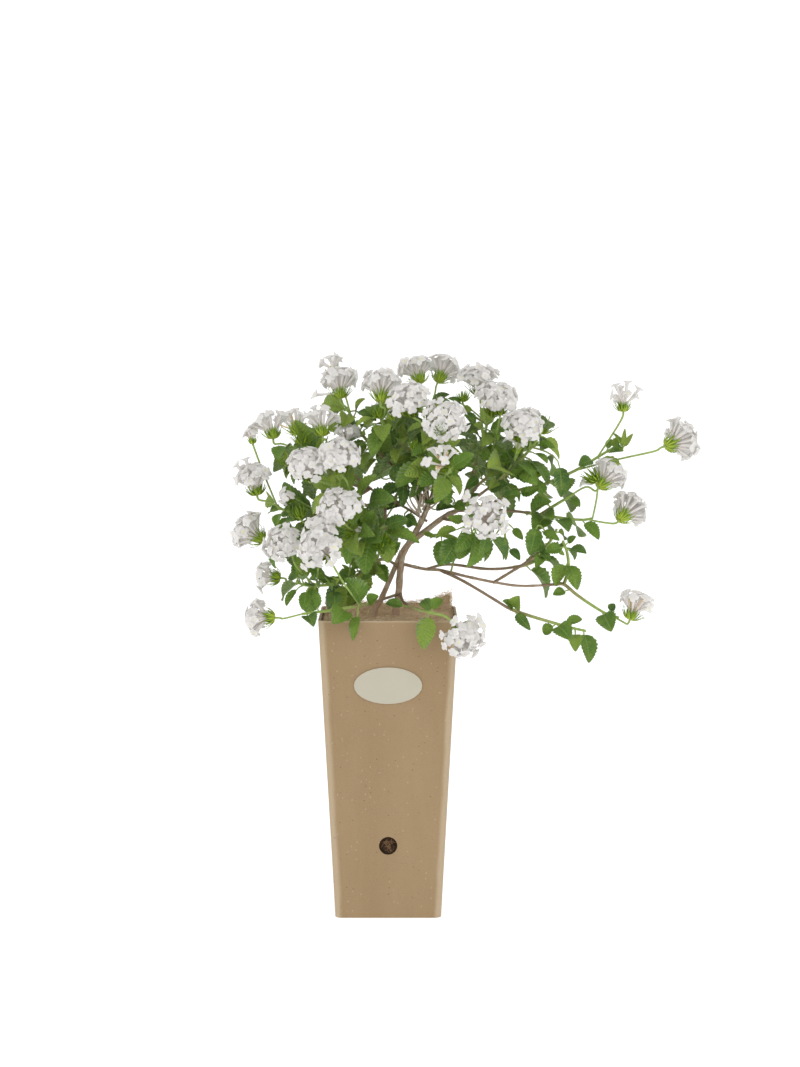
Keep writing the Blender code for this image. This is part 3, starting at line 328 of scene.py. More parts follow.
class Batch:
    """Tubes and closed surfaces gathered into one piece, each a stack of rings of points."""

    def __init__(self):
        self.points = []
        self.faces = []
        self.place = []
        self.paint = []
        self.finish = []
        self.count = 0

    def add(self, rings, place, paint, finish=0):
        """Adds n stacks, (n, rings, points round, 3): quads join neighbouring rings, and a flat face
        closes each end. Place and paint are three numbers each for the points, to be painted on, and
        finish is the number of a finish, or one for each column of quads."""
        n, high, around, _ = rings.shape
        start = self.count + (np.arange(n) * high * around)[:, None, None]
        row = (np.arange(high - 1) * around)[None, :, None]
        here = np.arange(around)[None, None, :]
        after = (here + 1) % around
        quads = np.stack([start + row + here, start + row + after,
                          start + row + around + after, start + row + around + here], -1)
        ends = np.concatenate([(start[:, 0] + here[0, :, ::-1]),
                               (start[:, 0] + (high - 1) * around + here[0])])
        self.faces += quads.reshape(-1, 4).tolist() + ends.tolist()
        self.finish += np.broadcast_to(finish, (n, high - 1, around)).ravel().tolist()
        self.finish += [int(np.ravel(finish)[0])] * (2 * n)
        for kept, given in ((self.points, rings), (self.place, place), (self.paint, paint)):
            kept.append(np.broadcast_to(given, rings.shape).reshape(-1, 3))
        self.count += n * high * around

    def add_stalks(self, paths, start, end, sides, age, finish):
        """Adds round stalks along paths, (n, points, 3), with their radius at the root and at the end."""
        radius = np.linspace(start, end, paths.shape[1])
        self.add(tubes(paths, radius[None], sides), 0, (age, 0, 0), finish)

    def piece(self, name, *finishes):
        """The mesh object of all that was added, with its finishes, smooth but for its sharp edges."""
        mesh = bpy.data.meshes.new(name)
        mesh.from_pydata((np.concatenate(self.points) * MM).tolist(), [], self.faces)
        for label, values in (("place", self.place), ("paint", self.paint)):
            held = mesh.attributes.new(label, "FLOAT_VECTOR", "POINT")
            held.data.foreach_set("vector", np.concatenate(values).astype(np.float32).ravel())
        for finish in finishes:
            mesh.materials.append(finish.made)
        mesh.polygons.foreach_set("material_index", self.finish)
        mesh.shade_smooth()
        mesh.set_sharp_from_angle(angle=math.radians(55))
        mesh.update()
        return place_in_scene(name, mesh)


def first_of_three(values):
    """Paint that holds the values in its first number, and 0 in the other two."""
    return np.stack([values, 0 * values, 0 * values], -1)


def unit(v):
    """The vector v, or each vector of an array, at length 1."""
    v = np.asarray(v, float)
    return v / np.linalg.norm(v, axis=-1, keepdims=True)


def across(axis):
    """Two directions across each axis: first and second with the axis make a right-handed frame."""
    axis = unit(axis)
    upright = np.eye(3)[np.argmin(np.abs(axis), axis=-1)]
    first = unit(np.cross(upright, axis))
    return first, np.cross(axis, first)


def tubes(paths, radius, sides, ridge=0.0):
    """Rings of points round each path, (n, points, 3). A point lies at the path plus radius times
    (cos a first + sin a second), with the radius swollen by ridge times cos 4a."""
    paths = np.asarray(paths, float)
    along = unit(np.gradient(paths, axis=1))
    still = np.eye(3)[np.argmin(np.abs(along).max(axis=1), axis=-1)][:, None]
    first = unit(np.cross(still, along))
    second = np.cross(along, first)
    turn = np.arange(sides) * math.tau / sides
    out = np.broadcast_to(radius, paths.shape[:2])[..., None] * (1 + ridge * np.cos(4 * turn))
    return (paths[:, :, None] + out[..., None] * (first[:, :, None] * np.cos(turn)[:, None]
                                                  + second[:, :, None] * np.sin(turn)[:, None]))


def lumps(places, sizes, rng, rows=5, around=6):
    """Knobbly balls: rings of a sphere, sin and cos of the two angles, each point pushed in or out."""
    high = np.linspace(0.12, math.pi - 0.12, rows)[:, None]
    turn = np.arange(around) * math.tau / around
    ball = np.stack(np.broadcast_arrays(np.sin(high) * np.cos(turn), np.sin(high) * np.sin(turn),
                                        -np.cos(high)), -1)
    rough = 1 + rng.uniform(-0.25, 0.25, (len(places), rows, around, 1))
    return places[:, None, None] + ball * rough * sizes[:, None, None, None]


# Crumbs and broken roots, just behind the hole.
rng = np.random.default_rng(3)
front = -(SLEEVE_BOTTOM + (SLEEVE_TOP - SLEEVE_BOTTOM) * HOLE_HEIGHT / SLEEVE_HEIGHT) / 2
spread = np.sqrt(rng.uniform(0, 1, CRUMBS)) * (HOLE_RADIUS - 1.0)
turn = rng.uniform(0, math.tau, CRUMBS)
bits = np.stack([spread * np.cos(turn), front + 1.95 - 0.4 * rng.uniform(0, 1, CRUMBS),
                 HOLE_HEIGHT + spread * np.sin(turn)], 1)
crumbs = Batch()
crumbs.add(lumps(bits, rng.uniform(0.35, 0.8, CRUMBS), rng), 0, 0)
steps = np.linspace(-0.5, 0.5, 6)[None, :, None]
turn = rng.uniform(0, math.tau, (THREADS, 1))
way = np.stack([np.cos(turn), 0 * turn, np.sin(turn)], -1)
middle = np.stack([rng.uniform(-3, 3, THREADS), np.full(THREADS, front + 1.25),
                   HOLE_HEIGHT + rng.uniform(-3, 3, THREADS)], 1)[:, None]
bend = np.stack([np.sin(turn), 0 * turn + 0.1, np.cos(turn)], -1) * np.cos(steps * 5)
crumbs.add(tubes(middle + way * steps * 6.0 + bend * 0.6, 0.16, 4), 0, (1, 0, 0))

loose = Finish("soil_crumbs", 0.9, 0.25)
grain = loose.place().noise(900, 3)
dirt = grain.ramp(0.3, 0.7).painted(SOIL_DARK, SOIL_BROWN)
loose.set("Base Color", loose.painted_on("paint").parts()[0].painted(dirt, ROOT_TAN))
loose.bump(grain, 0.0004)

hole_crumbs = crumbs.piece("hole_crumbs", loose)
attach(hole_crumbs, "root")


# Mulch mat: a sheet of coconut fibre felt, cut square and pressed on the soil, with its back edge and
# corners turned up. The felt is a lumpy slab, with loose fibres all over it and sticking out of its edges.

MAT_REACH = 42.5
MAT_MIDDLE = 195.0
MAT_THICK = 5.0
MAT_BACK = 7.0
MAT_ROWS = 54
WAVES = 14
MAT_FIBRES = 3400
COIR_BROWN = (0.680, 0.495, 0.300)
COIR_DARK = (0.450, 0.310, 0.180)
COIR_PALE = (0.780, 0.630, 0.450)


def mat_height(x, y):
    """The middle of the mat's thickness: a low wave, with the back edge and the corners turned up."""
    u, v = x / MAT_REACH, y / MAT_REACH
    wave = 0.7 * np.sin(3.1 * u + 1.0) * np.cos(2.3 * v) + 0.5 * np.sin(5.0 * v + 2.0 * u)
    back = MAT_BACK * np.clip((v - 0.45) / 0.55, 0, 1) ** 2
    corners = 2.5 * np.clip(np.abs(u) - 0.55, 0, 1) ** 1.5 * 3.0 * (0.55 + 0.45 * v)
    right = 2.2 * np.clip(u - 0.6, 0, 1) * np.clip(v - 0.4, 0, 1) * 6.0
    return MAT_MIDDLE + wave + back + corners + right


def ripple(x, y, rng):
    """A sum of sine waves that run every way over x and y, from about -1 to 1."""
    way = rng.uniform(0, math.tau, WAVES)
    pace = rng.uniform(0.25, 1.0, WAVES) * 0.9
    phase = x[..., None] * np.cos(way) * pace + y[..., None] * np.sin(way) * pace
    return np.sin(phase + rng.uniform(0, math.tau, WAVES)).sum(-1) / math.sqrt(WAVES)


rng = np.random.default_rng(5)
along = np.linspace(-1, 1, MAT_ROWS)[:, None]
there = np.linspace(1, -1, MAT_ROWS)
lap = np.concatenate([there, -there[1:-1]])
side = np.concatenate([np.ones(MAT_ROWS), -np.ones(MAT_ROWS - 2)])
felt_x, felt_y = np.broadcast_arrays(lap * MAT_REACH, along * MAT_REACH)
thick = side * np.sqrt((1 - lap**24) * (1 - 0.85 * along**24))
lumpy = ripple(felt_x, felt_y, rng)
ragged = 1 + 0.007 * ripple(felt_x, felt_y, rng)
felt_z = mat_height(felt_x, felt_y) + thick * MAT_THICK / 2 + 0.45 * lumpy * thick
felt = np.stack([felt_x * ragged, felt_y * ragged, felt_z], -1)
mulch = Batch()
mulch.add(felt[None, :, ::-1], 0, 0)

# Loose fibres: two thirds lie all over the mat, and one third at its rim.
root = rng.uniform(-1, 1, (MAT_FIBRES, 2)) * MAT_REACH
rimmed = np.arange(MAT_FIBRES) % 3 == 0
side = rng.integers(0, 2, MAT_FIBRES)
root[rimmed, side[rimmed]] = np.sign(root[rimmed, side[rimmed]]) * MAT_REACH * 0.98
turn = rng.uniform(0, math.tau, MAT_FIBRES)
long = rng.uniform(5, 13, MAT_FIBRES)
s = np.linspace(-0.5, 0.5, 5)
curl = rng.uniform(-1.2, 1.2, MAT_FIBRES)[:, None] * s
fx = root[:, :1] + long[:, None] * s * np.cos(turn[:, None] + curl)
fy = root[:, 1:] + long[:, None] * s * np.sin(turn[:, None] + curl)
limit = MAT_REACH + np.where(rimmed, 1.2, 0.0)[:, None]
fx, fy = np.clip(fx, -limit, limit), np.clip(fy, -limit, limit)
lift = MAT_THICK / 2 + rng.uniform(-0.5, 0.6, (MAT_FIBRES, 1))
lift = lift + np.abs(s) * rng.uniform(-1, 4, (MAT_FIBRES, 1))
low = rng.uniform(-1, 1, MAT_FIBRES)[:, None] * MAT_THICK / 2
fz = mat_height(fx, fy) + np.where(rimmed[:, None], low + s * rng.uniform(-3, 5, (MAT_FIBRES, 1)), lift)
tone = first_of_three(rng.uniform(0.2, 1, (MAT_FIBRES, 1, 1)))
mulch.add(tubes(np.stack([fx, fy, fz], -1), rng.uniform(0.10, 0.19, (MAT_FIBRES, 1)), 3), 0, tone)

coir = Finish("coir", 0.95, 0.15)
spot = coir.place()
tangle = spot.noise(520, 5, 0.75)
strands = spot.stretched(1, 0.25, 1).noise(1100, 2) * 0.5
strands = strands + spot.stretched(0.25, 1, 1).noise(1100, 2) * 0.5
felted = (tangle * 0.6 + strands * 0.4).ramp(0.36, 0.62).painted(COIR_DARK, COIR_BROWN)
hair = coir.painted_on("paint").parts()[0]
fibre_tone = hair.painted(COIR_BROWN, COIR_PALE)
coir.set("Base Color", hair.ramp(0.05, 0.15).painted(felted, fibre_tone))
coir.bump(tangle * 0.7 + strands * 0.3, 0.0010)

mulch_mat = mulch.piece("mulch_mat", coir)
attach(mulch_mat, "root")
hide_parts("mat")


# Trunk: two old woody stems that stand in the soil and join above the mat, and every brown branch and
# twig down to where the green shoots begin. The bark is grey-brown and cracked along the wood, redder
# near the soil, and swollen where leaves once stood.

LEAF_WIDTH = 0.78
ARCH = 0.12
FOLD = 0.30
DOME_LIFT = 0.52
LEAD = 3.0
CLEAR = 0.3
OLD_TRIES = 16
OLD_ROOM = 2.4
THICK = 1.1
TWIG_START = 1.15
SLIM = 0.84
SLIM_BELOW = 1.5
THICKEST = 2.4
TWIG_OWNER = 100
HEAD_OWNER = 200
BARK_GREY = (0.520, 0.400, 0.280)
BARK_DARK = (0.300, 0.200, 0.130)
BARK_RED = (0.560, 0.370, 0.265)
BARK_PALE = (0.620, 0.530, 0.410)
TWIG_BROWN = (0.210, 0.145, 0.085)
EYE = np.array([8.0, -1847.0, 405.0])


def seen(x, z, depth):
    """The point at this depth that the viewpoint sees at (x, z) in the plane of the trunk."""
    flat = np.array([x, 0.0, z])
    return EYE + (flat - EYE) * (depth - EYE[1]) / (0.0 - EYE[1])


def smooth(points, steps):
    """Points along the Catmull-Rom curve through the given ones, with steps to each span."""
    p = np.asarray(points, float)
    ends = np.vstack([2 * p[0] - p[1], p, 2 * p[-1] - p[-2]])
    out = []
    for a, b, c, d in zip(ends, ends[1:], ends[2:], ends[3:]):
        for t in np.arange(steps) / steps:
            out.append(0.5 * (2 * b + (c - a) * t + (2 * a - 5 * b + 4 * c - d) * t**2
                              + (3 * b - a - 3 * c + d) * t**3))
    return np.array(out + [p[-1]])


def nearest(path, point):
    """The point of a path's corners and middles that lies nearest to the given one."""
    fine = np.vstack([path, (path[1:] + path[:-1]) / 2])
    return fine[np.argmin(np.linalg.norm(fine - point, axis=1))]


def rows(text):
    """The numbers of a written table, with commas between its rows."""
    return [[float(number) for number in row.split()] for row in text.split(",")]


def traced(text):
    """The points of a line written as x, z and depth, point by point."""
    return [seen(*row) for row in rows(text)]


# The brown branches: radius at the root and at the end, then the points
BRANCHES = [
    (1.9, 1.6, "-9 178 0, -9 200 0, -4 211 0, 9 242 -1"),
    (2.4, 2.1, "5 178 -3, 5 200 -3, 7 212 -3, 9 238 -1, 15 249 0"),
    (2.1, 1.7, "15 249 0, 22 262 0, 27 273 2"),
    (2, 1.6, "15 248 0, 36 264 0, 46 269 0"),
    (1.3, 0.9, "11 233 -2, 24 230 -8, 35 229 -12, 52 225 -14, 71 221 -14, 88 218.5 -14, 106 219 -14"),
    (1, 0.9, "26 262 0, 10 272 -2, -4 279 0, -12 284 0"),
]


class Spray:
    """One green shoot: the brown twig it ends, its stems, its flower heads, leaves and buds."""

    def __init__(self, name, twig, *stems, heads=(), leaves="", pairs=((0, 0.15, 0.95, 3),), buds=(),
                 size=29):
        self.name = name
        self.twig = traced(twig)
        self.stems = [traced(stem) for stem in stems]
        self.heads = heads
        self.leaves = rows(leaves) if leaves else []
        self.pairs = pairs
        self.buds = buds
        self.size = size


# After its name and twig, a spray has its stems: the first goes on from the twig, and the others fork
# off it. A head is: name, stalk, facing and radius, and the end of its stalk carries it; two heads of
# one name have grown into each other. A listed leaf is: root, tip, length and width of its blade.
# Pairs of leaves are: number of the stem, first and last place along it, and how many pairs; most
# sprays have three pairs on their first stem. A bud is: place, facing and radius.
SPRAYS = [
    Spray("top_left", "27 273 2, 14 290 2, -2 304 5", "-14 316 8, -22 327 8, -27 337 8",
          heads=[("head_top_left_a", "-24 330 8, -30 350 14, -36 361 14", (-0.2, 0, 1), 9.5),
                 ("head_top_left_b", "-20 324 8, -27 337 1, -32 346 -2", (-0.1, -0.35, 1), 13)]),
    Spray("top", "27 273 2, 25 290 2, 20 302 2", "8 315 -6, -2 325 -12, -6 333 -16",
          "17 305 -1, 24 318 12, 27 333 19, 27 341 21",
          heads=[("head_top", "-4 328 -14, -2 337 -22, -5 344 -24", (0, -0.15, 1), 13.5),
                 ("heads_top_back", "26 334 19, 24 346 20, 21 356 20", (-0.3, -0.05, 1), 12),
                 ("heads_top_back", "27 336 20, 31 347 26, 34 357 27", (0.45, 0.15, 1), 12)],
          pairs=[(0, 0.3, 0.85, 2), (1, 0.2, 0.9, 3)], buds=[((-6, 333, -16), (-0.1, -0.3, 1), 3.2)]),
    Spray("centre", "27 273 2, 30 284 -10, 30 290 -18", "29 303 -26, 28 316 -28, 27 326 -27",
          "30 298 -23, 36 295 -35, 42 295 -44",
          heads=[("head_centre_a", "28 318 -28, 22 328 -34, 16 335 -38", (-0.25, -0.6, 0.75), 14),
                 ("head_centre_b", "28 312 -28, 33 321 -40, 37 327 -48", (0.1, -1, 0.25), 14),
                 ("head_centre_c", "38 293 -37, 40 294 -52, 38 299 -60", (-0.4, -0.8, 0.4), 10.5)],
          pairs=[(0, 0.3, 0.95, 3), (1, 0.75, 0.75, 1)]),
    Spray("right_top", "46 269 0, 53 284 0, 57 295 -1", "61 308 -3, 64 318 -4, 66 327 -5",
          heads=[("head_right_top_a", "64 319 -4, 62 334 6, 61 348 8", (-0.1, -0.1, 1), 13.5),
                 ("head_right_top_b", "66 325 -5, 69 330 -11, 70 335 -15", (0.15, -0.5, 0.8), 14)],
          pairs=[(0, 0.1, 0.9, 3)]),
    Spray("right_shoulder", "46 269 0, 60 279 -3, 72 288 -7",
          "82 297 -10, 92 307 -11, 99 316 -10, 102 322 -9",
          heads=[("head_right_shoulder", "84 299 -10, 86 309 -24, 88 318 -31", (0.15, -0.6, 0.7), 13)],
          buds=[((102, 322, -9), (0.2, -0.2, 1), 4.5)]),
    Spray("left_top", "-12 284 0, -22 292 -4", "-34 301 -5, -48 307 -3, -60 310 0, -66 313 1",
          "-31 299 -5, -36 307 -12, -41 313 -16",
          heads=[("head_left_top", "-63 312 0, -71 314 3, -77 319 4", (-0.15, -0.1, 1), 12),
                 ("head_left_mid", "-40 311 -15, -42 317 -20, -44 321 -23", (-0.1, -0.35, 1), 13)],
          pairs=[(0, 0.2, 0.95, 3)]),
    Spray("left_front", "-4 279 0, -8 273 -14, -12 272 -24", "-20 275 -33, -28 280 -39, -34 284 -42",
          heads=[("heads_left_front", "-24 277 -36, -28 289 -50, -32 297 -56", (-0.05, -0.6, 0.75), 14),
                 ("heads_left_front", "-34 284 -42, -46 289 -48, -53 292 -51", (-0.05, -0.6, 0.7), 13.5)]),
    Spray("left_out", "-12 284 0, -28 274 0, -40 268 -3", "-52 266 -6, -64 268 -9, -74 271 -10",
          "-49 266 -5, -58 259 -8, -68 253 -8, -74 251 -8",
          heads=[("head_left_out", "-70 270 -10, -80 275 -12, -88 281 -13", (-0.25, -0.4, 1), 13.5),
                 ("head_left_low_out", "-72 252 -8, -80 250 -8, -85 250 -8", (-0.85, -0.45, 0.5), 14)],
          pairs=[(0, 0.2, 0.95, 3), (1, 0.4, 0.95, 2)]),
    Spray("front_left", "-4 279 0, -2 268 -16, -4 260 -28", "-10 256 -38, -18 254 -46, -24 254 -50",
          heads=[("head_front_left", "-20 254 -48, -28 259 -57, -31 265 -63", (-0.1, -0.75, 0.6), 13.5)],
          leaves="-5 258 -32 25 246 -44 29 11, -8 257 -36 14 263 -40 15 12",
          pairs=[(0, 0.35, 0.95, 2)], buds=[((-24, 254, -50), (-0.6, -0.6, -0.3), 3)]),
    Spray("left_low", "7 231 -2, 3 234 -4, -1 236 -7",
          "-6 236 -11, -15 230 -18, -28 222 -27, -42 219 -33, -56 219 -35, -62 222 -35",
          heads=[("head_left_low_a", "-52 219 -35, -62 232 -42, -67 243 -45", (-0.35, -0.8, 0.4), 13),
                 ("head_left_low_b", "-60 221 -35, -68 221 -32, -74 224 -30", (-0.9, -0.25, 0.15), 11)],
          leaves="-10 233 -14 -24 233 -24 15 12, -24 224 -25 -32 234 -32 13 5, -8 235 -12 -4 246 -30 8 6",
          pairs=[(0, 0.5, 0.95, 2)], buds=[((-4, 246, -34), (0, -0.8, 0.5), 4.5)]),
    Spray("rim_left", "7 213 -4, -2 210 -16, -10 207 -28",
          "-19 205 -40, -32 203 -45, -46 201 -47, -58 199.5 -47",
          heads=[("head_rim_left", "-56 200 -47, -70 196.5 -47, -78 197 -47", (-1, -0.15, 0.05), 12),
                 ("head_front_low", "-19 205 -40, -31 222 -62, -42 240 -74", (-0.3, -0.8, 0.45), 15)],
          leaves="-17 206 -38 -31 226 -46 25 16, -16 206 -36 -6 212 -40 17 11, "
                 "-28 204 -44 -38 192 -60 22 16, -20 205 -41 -24 179 -60 22 9, "
                 "-47 201 -47 -50 217 -44 13 8, -55 200 -47 -50 191 -62 15 13, "
                 "-36 203 -46 -36 215 -34 16 11",
          pairs=()),
    Spray("rim_front", "8 213 -5, 10 208 -18, 14 205 -30",
          "18 203 -42, 28 200.5 -52, 38 198 -58, 42 195 -61",
          heads=[("head_rim_front", "38 198 -58, 44 193 -61, 48 189 -64", (0.2, -0.95, -0.35), 14.5)],
          leaves="27 201 -51 23 172 -60 25 16, 12 206 -24 -3 207 -28 13 9, 30 200 -53 23 210 -42 17 11, "
                 "28 200.5 -52 36 210 -46 14 9",
          pairs=()),
    Spray("front_right", "36 264 0, 46 262 -16, 52 262 -26", "56 260 -36, 60 257 -43, 66 254 -47",
          heads=[("head_front_right", "56 260 -36, 60 262 -52, 64 264 -60", (0.1, -1, 0.1), 14.5)],
          leaves="52 261 -28 35 231 -40 22 17, 55 260 -34 47 236 -42 16 14, 55 260 -34 31 250 -30 16 8",
          pairs=[(0, 0.6, 0.95, 2)]),
    Spray("right_mid", "46 269 0, 64 270 4, 82 269 6, 92 268 7",
          "104 266 8, 118 264 8, 130 263 8, 137 264 8", "102 266 8, 112 273 4, 124 280 2",
          heads=[("head_right_mid", "133 263 8, 146 261 8, 156 264 8", (0.7, -0.3, 0.7), 13.5),
                 ("head_right_upper", "120 278 3, 132 285 0, 142 286 -2", (0.65, -0.25, 0.75), 13)],
          leaves="130 263 8 142 249 2 18 12, 112 265 8 122 254 -8 17 14, 106 266 8 96 253 -10 22 17, "
                 "100 267 8 112 262 -14 19 13, 110 271 5 97 279 -8 18 14, 120 278 3 129 271 -6 15 9",
          pairs=[(0, 0.2, 0.2, 1), (0, 0.55, 0.55, 1)]),
    Spray("right_upper", "64 270 4, 76 278 11, 88 283 14", "102 286 15, 125 296 16, 140 305 16, 150 311 15",
          heads=[("head_far_right", "126 296 16, 143 301 17, 160 305 17, 178 309 16, 187 313 16",
                  (0.95, -0.25, 0.35), 14.5),
                 ("head_right_tall", "142 306 16, 151 322 18, 157 337 18", (0.05, -0.1, 1), 11)],
          leaves="118 292 16 117 279 -4 20 17, 140 305 16 156 293 24 20 14, 138 304 16 127 299 8 20 12, "
                 "148 310 15 158 318 10 13 7, 146 309 15 158 309 4 13 8, 146 309 15 150 318 22 11 6",
          pairs=[(0, 0.08, 0.28, 2)]),
    Spray("right_low", "104 219 -14, 112 219.5 -14",
          "118 219.5 -14, 126 213 -14, 136 206 -14, 146 200 -14, 155 197 -14",
          "118 219.5 -14, 121 230 -12, 120 241 -10, 117 249 -10",
          heads=[("head_right_low", "150 198.5 -14, 158 194 -15, 163 197 -16", (0.35, -0.35, 0.85), 13)],
          leaves="121 235 -11 112 217 -22 21 15, 121 235 -11 127 216 -24 22 15, "
                 "119 243 -10 134 240 -16 15 11, 118 246 -10 126 252 -12 9 6, "
                 "119 245 -10 105 241 -14 13 12, 122 216 -14 110 212 -20 10 7, "
                 "147 200 -14 153 207 -14 9 6, 143 201 -14 151 186 -26 19 15",
          pairs=()),
    Spray("right_across", "71 221 -14, 84 229 -10, 95 236 -7", "104 243 -5, 111 252 -4, 113 257 -4",
          leaves="104 243 -5 99 231 -20 12 10, 108 247 -4 92 243 -12 17 12",
          pairs=[(0, 0.2, 0.9, 2)], size=21),
    Spray("right_trailing", "35 229 -12, 50 222 -20, 70 210 -26, 82 203 -28",
          "96 198 -30, 113 193 -31, 124 190 -31, 133 188 -31",
          leaves="84 202 -28 96 188 -40 18 8, 113 193 -31 123 182 -44 18 15, "
                 "118 192 -31 132 197 -24 17 10, 131 188 -31 135 166 -42 23 16, "
                 "126 189 -31 126 174 -50 17 10, 113 193 -31 104 186 -26 13 9, "
                 "84 202 -28 88 212 -38 14 12, 86 201 -28 76 209 -36 12 10",
          pairs=()),
    Spray("right_thin", "26 230 -8, 40 233 4, 66 230 10, 84 231 12", "96 234 14, 106 240 15, 114 248 16",
          pairs=[(0, 0.2, 0.95, 3)], size=24),
    Spray("back_left", "-12 284 0, -22 286 16, -30 290 28", "-40 297 40, -50 303 50, -56 308 57",
          heads=[("head_back_left", "-54 306 54, -58 315 62, -61 322 66", (-0.3, 0.6, 1), 13.5)]),
    Spray("back", "27 273 2, 22 288 18, 18 298 30", "14 306 42, 10 312 54, 8 316 62",
          heads=[("head_back", "9 314 58, 6 324 68, 4 330 74", (-0.1, 0.7, 0.9), 14),
                 ("head_back_mid", "13 308 46, 24 300 64, 30 296 74", (0.3, 1, 0.1), 13)]),
    Spray("back_right", "46 269 0, 54 278 18, 60 286 32", "68 293 42, 77 300 50, 84 306 56",
          heads=[("head_back_right", "82 304 54, 88 312 60, 91 319 63", (0.35, 0.5, 0.9), 13.5)]),
    Spray("back_low", "15 249 0, 8 254 16, 0 257 30", "-10 258 42, -20 257 52, -28 254 60",
          heads=[("head_back_low", "-26 255 58, -33 258 68, -38 262 74", (-0.4, 0.9, 0.4), 13)],
          size=28),
]

LEAF_STEPS = np.linspace(0.06, 1.0, 7)
LEAF_ACROSS = np.linspace(-1.0, 1.0, 5)
PLANT_CENTRE = np.array([10.0, 0.0, 270.0])


def half_width(t):
    """Half the blade's width at t along it, as a share of the full width: an egg shape."""
    return 0.5 * np.sin(math.pi * np.clip(t, 0, 1) ** 0.62) ** 0.9


class Leaf:
    """A blade from its base along an arched midrib, folded up a little on both sides."""

    def __init__(self, root, base, tip, width, facing):
        self.root = root
        self.base = base
        self.length = np.linalg.norm(tip - base)
        self.along = unit(tip - base)
        side = np.cross(facing, self.along)
        self.side = unit(side if np.linalg.norm(side) > 0.05 else np.cross((0.3, 1, 0.2), self.along))
        self.up = np.cross(self.along, self.side)
        self.width = width

    def samples(self):
        """Points spread over the blade, for measuring clearances: at t along it and v across it, it is
        as wide as half_width(t), arched by ARCH 4t(1 - t) of its length, and folded up by FOLD."""
        t, v = (number.ravel()[:, None] for number in np.meshgrid(LEAF_STEPS, LEAF_ACROSS))
        y = v * self.width * half_width(t)
        z = ARCH * self.length * 4 * t * (1 - t) + FOLD * np.abs(y)
        return self.base + self.length * t * self.along + y * self.side + z * self.up


class Taken:
    """The space that is already filled: points, each with a radius and the piece that it is on."""

    def __init__(self):
        self.points = np.zeros((0, 3))
        self.radii = np.zeros(0)
        self.owners = np.zeros(0, int)

    def add(self, points, radius, owner):
        self.points = np.vstack([self.points, points])
        self.radii = np.append(self.radii, np.full(len(points), radius))
        self.owners = np.append(self.owners, np.full(len(points), owner))

    def room(self, points, owner, root, near):
        """The least distance from the points to what is taken, without the owner's own stem by the root."""
        own = (self.owners == owner) & (np.linalg.norm(self.points - root, axis=1) < near)
        middle = points.mean(0)
        reach = np.linalg.norm(points - middle, axis=1).max() + 5.0
        close = ~own & (np.linalg.norm(self.points - middle, axis=1) < reach + self.radii)
        away = np.linalg.norm(points[:, None] - self.points[close][None], axis=2) - self.radii[close]
        return away.min(initial=5.0)


def walk(path, step):
    """Points along a path, no more than a step apart."""
    out = [path[:1]]
    for a, b in zip(path, path[1:]):
        n = max(1, int(np.ceil(np.linalg.norm(b - a) / step)))
        out.append(a + (b - a) * (np.arange(1, n + 1) / n)[:, None])
    return np.vstack(out)


def reach_along(path):
    """How far along a path each of its points lies."""
    return np.concatenate([[0], np.cumsum(np.linalg.norm(np.diff(path, axis=0), axis=1))])


def along_path(path, share):
    """The point at a share of the path's length, and the path's direction there."""
    steps = np.linalg.norm(np.diff(path, axis=0), axis=1)
    reach = np.concatenate([[0], np.cumsum(steps)])
    here = share * reach[-1]
    i = min(max(int(np.searchsorted(reach, here)) - 1, 0), len(steps) - 1)
    return path[i] + (path[i + 1] - path[i]) * (here - reach[i]) / steps[i], unit(path[i + 1] - path[i])


def head_middle(at, facing, radius):
    """The centre of a flower head's dome, over the end of its stalk."""
    return at + unit(facing) * radius * DOME_LIFT


def lay_out(spray):
    """Runs a spray's stems and stalks on from its twig: each fork and stalk starts at the stem's own
    point nearest to it."""
    lead = unit(spray.twig[-1] - spray.twig[-2])
    first = [spray.twig[-1] + lead * CLEAR, spray.twig[-1] + lead * LEAD, *spray.stems[0]]
    spray.stem_paths = [np.array(first)]
    for start, *rest in spray.stems[1:]:
        spray.stem_paths.append(np.array([nearest(spray.stem_paths[0], start), *rest]))
    every = np.vstack(spray.stem_paths)
    spray.stalks = []
    for name, stalk, facing, radius in spray.heads:
        start, *rest, end = traced(stalk)
        facing = unit(facing)
        path = np.array([nearest(every, start), *rest, end - facing * 5, end])
        spray.stalks.append((name, path, facing, radius))


def hand_leaf(spray, place):
    """A leaf whose root and tip are given; its stalk takes up what the blade leaves."""
    root, tip, (length, width) = seen(*place[:3]), seen(*place[3:6]), place[6:]
    root = nearest(np.vstack([walk(path, 2.0)[2:] for path in spray.stem_paths]), root)
    length = min(length, np.linalg.norm(tip - root) - 3.0)
    return Leaf(root, tip - unit(tip - root) * length, tip, width, (0.0, -0.8, 0.6))


def stem_leaf(root, axis, turn, forward, squash, size, width, droop, stalk, light):
    """A leaf that leaves a stem at an angle round it, leans forward and droops, and turns its face to
    the light."""
    flat = unit(np.cross(axis, (0.1, 0.05, 1.0)))
    out = math.cos(turn) * flat + math.sin(turn) * np.cross(axis, flat)
    along = unit((out * 0.9 + axis * forward + np.array([0, 0, -droop])) * squash)
    base = root + unit(along + axis * 0.3 + np.array([0, 0, 0.2])) * stalk
    return Leaf(root, base, base + along * size, width, light)


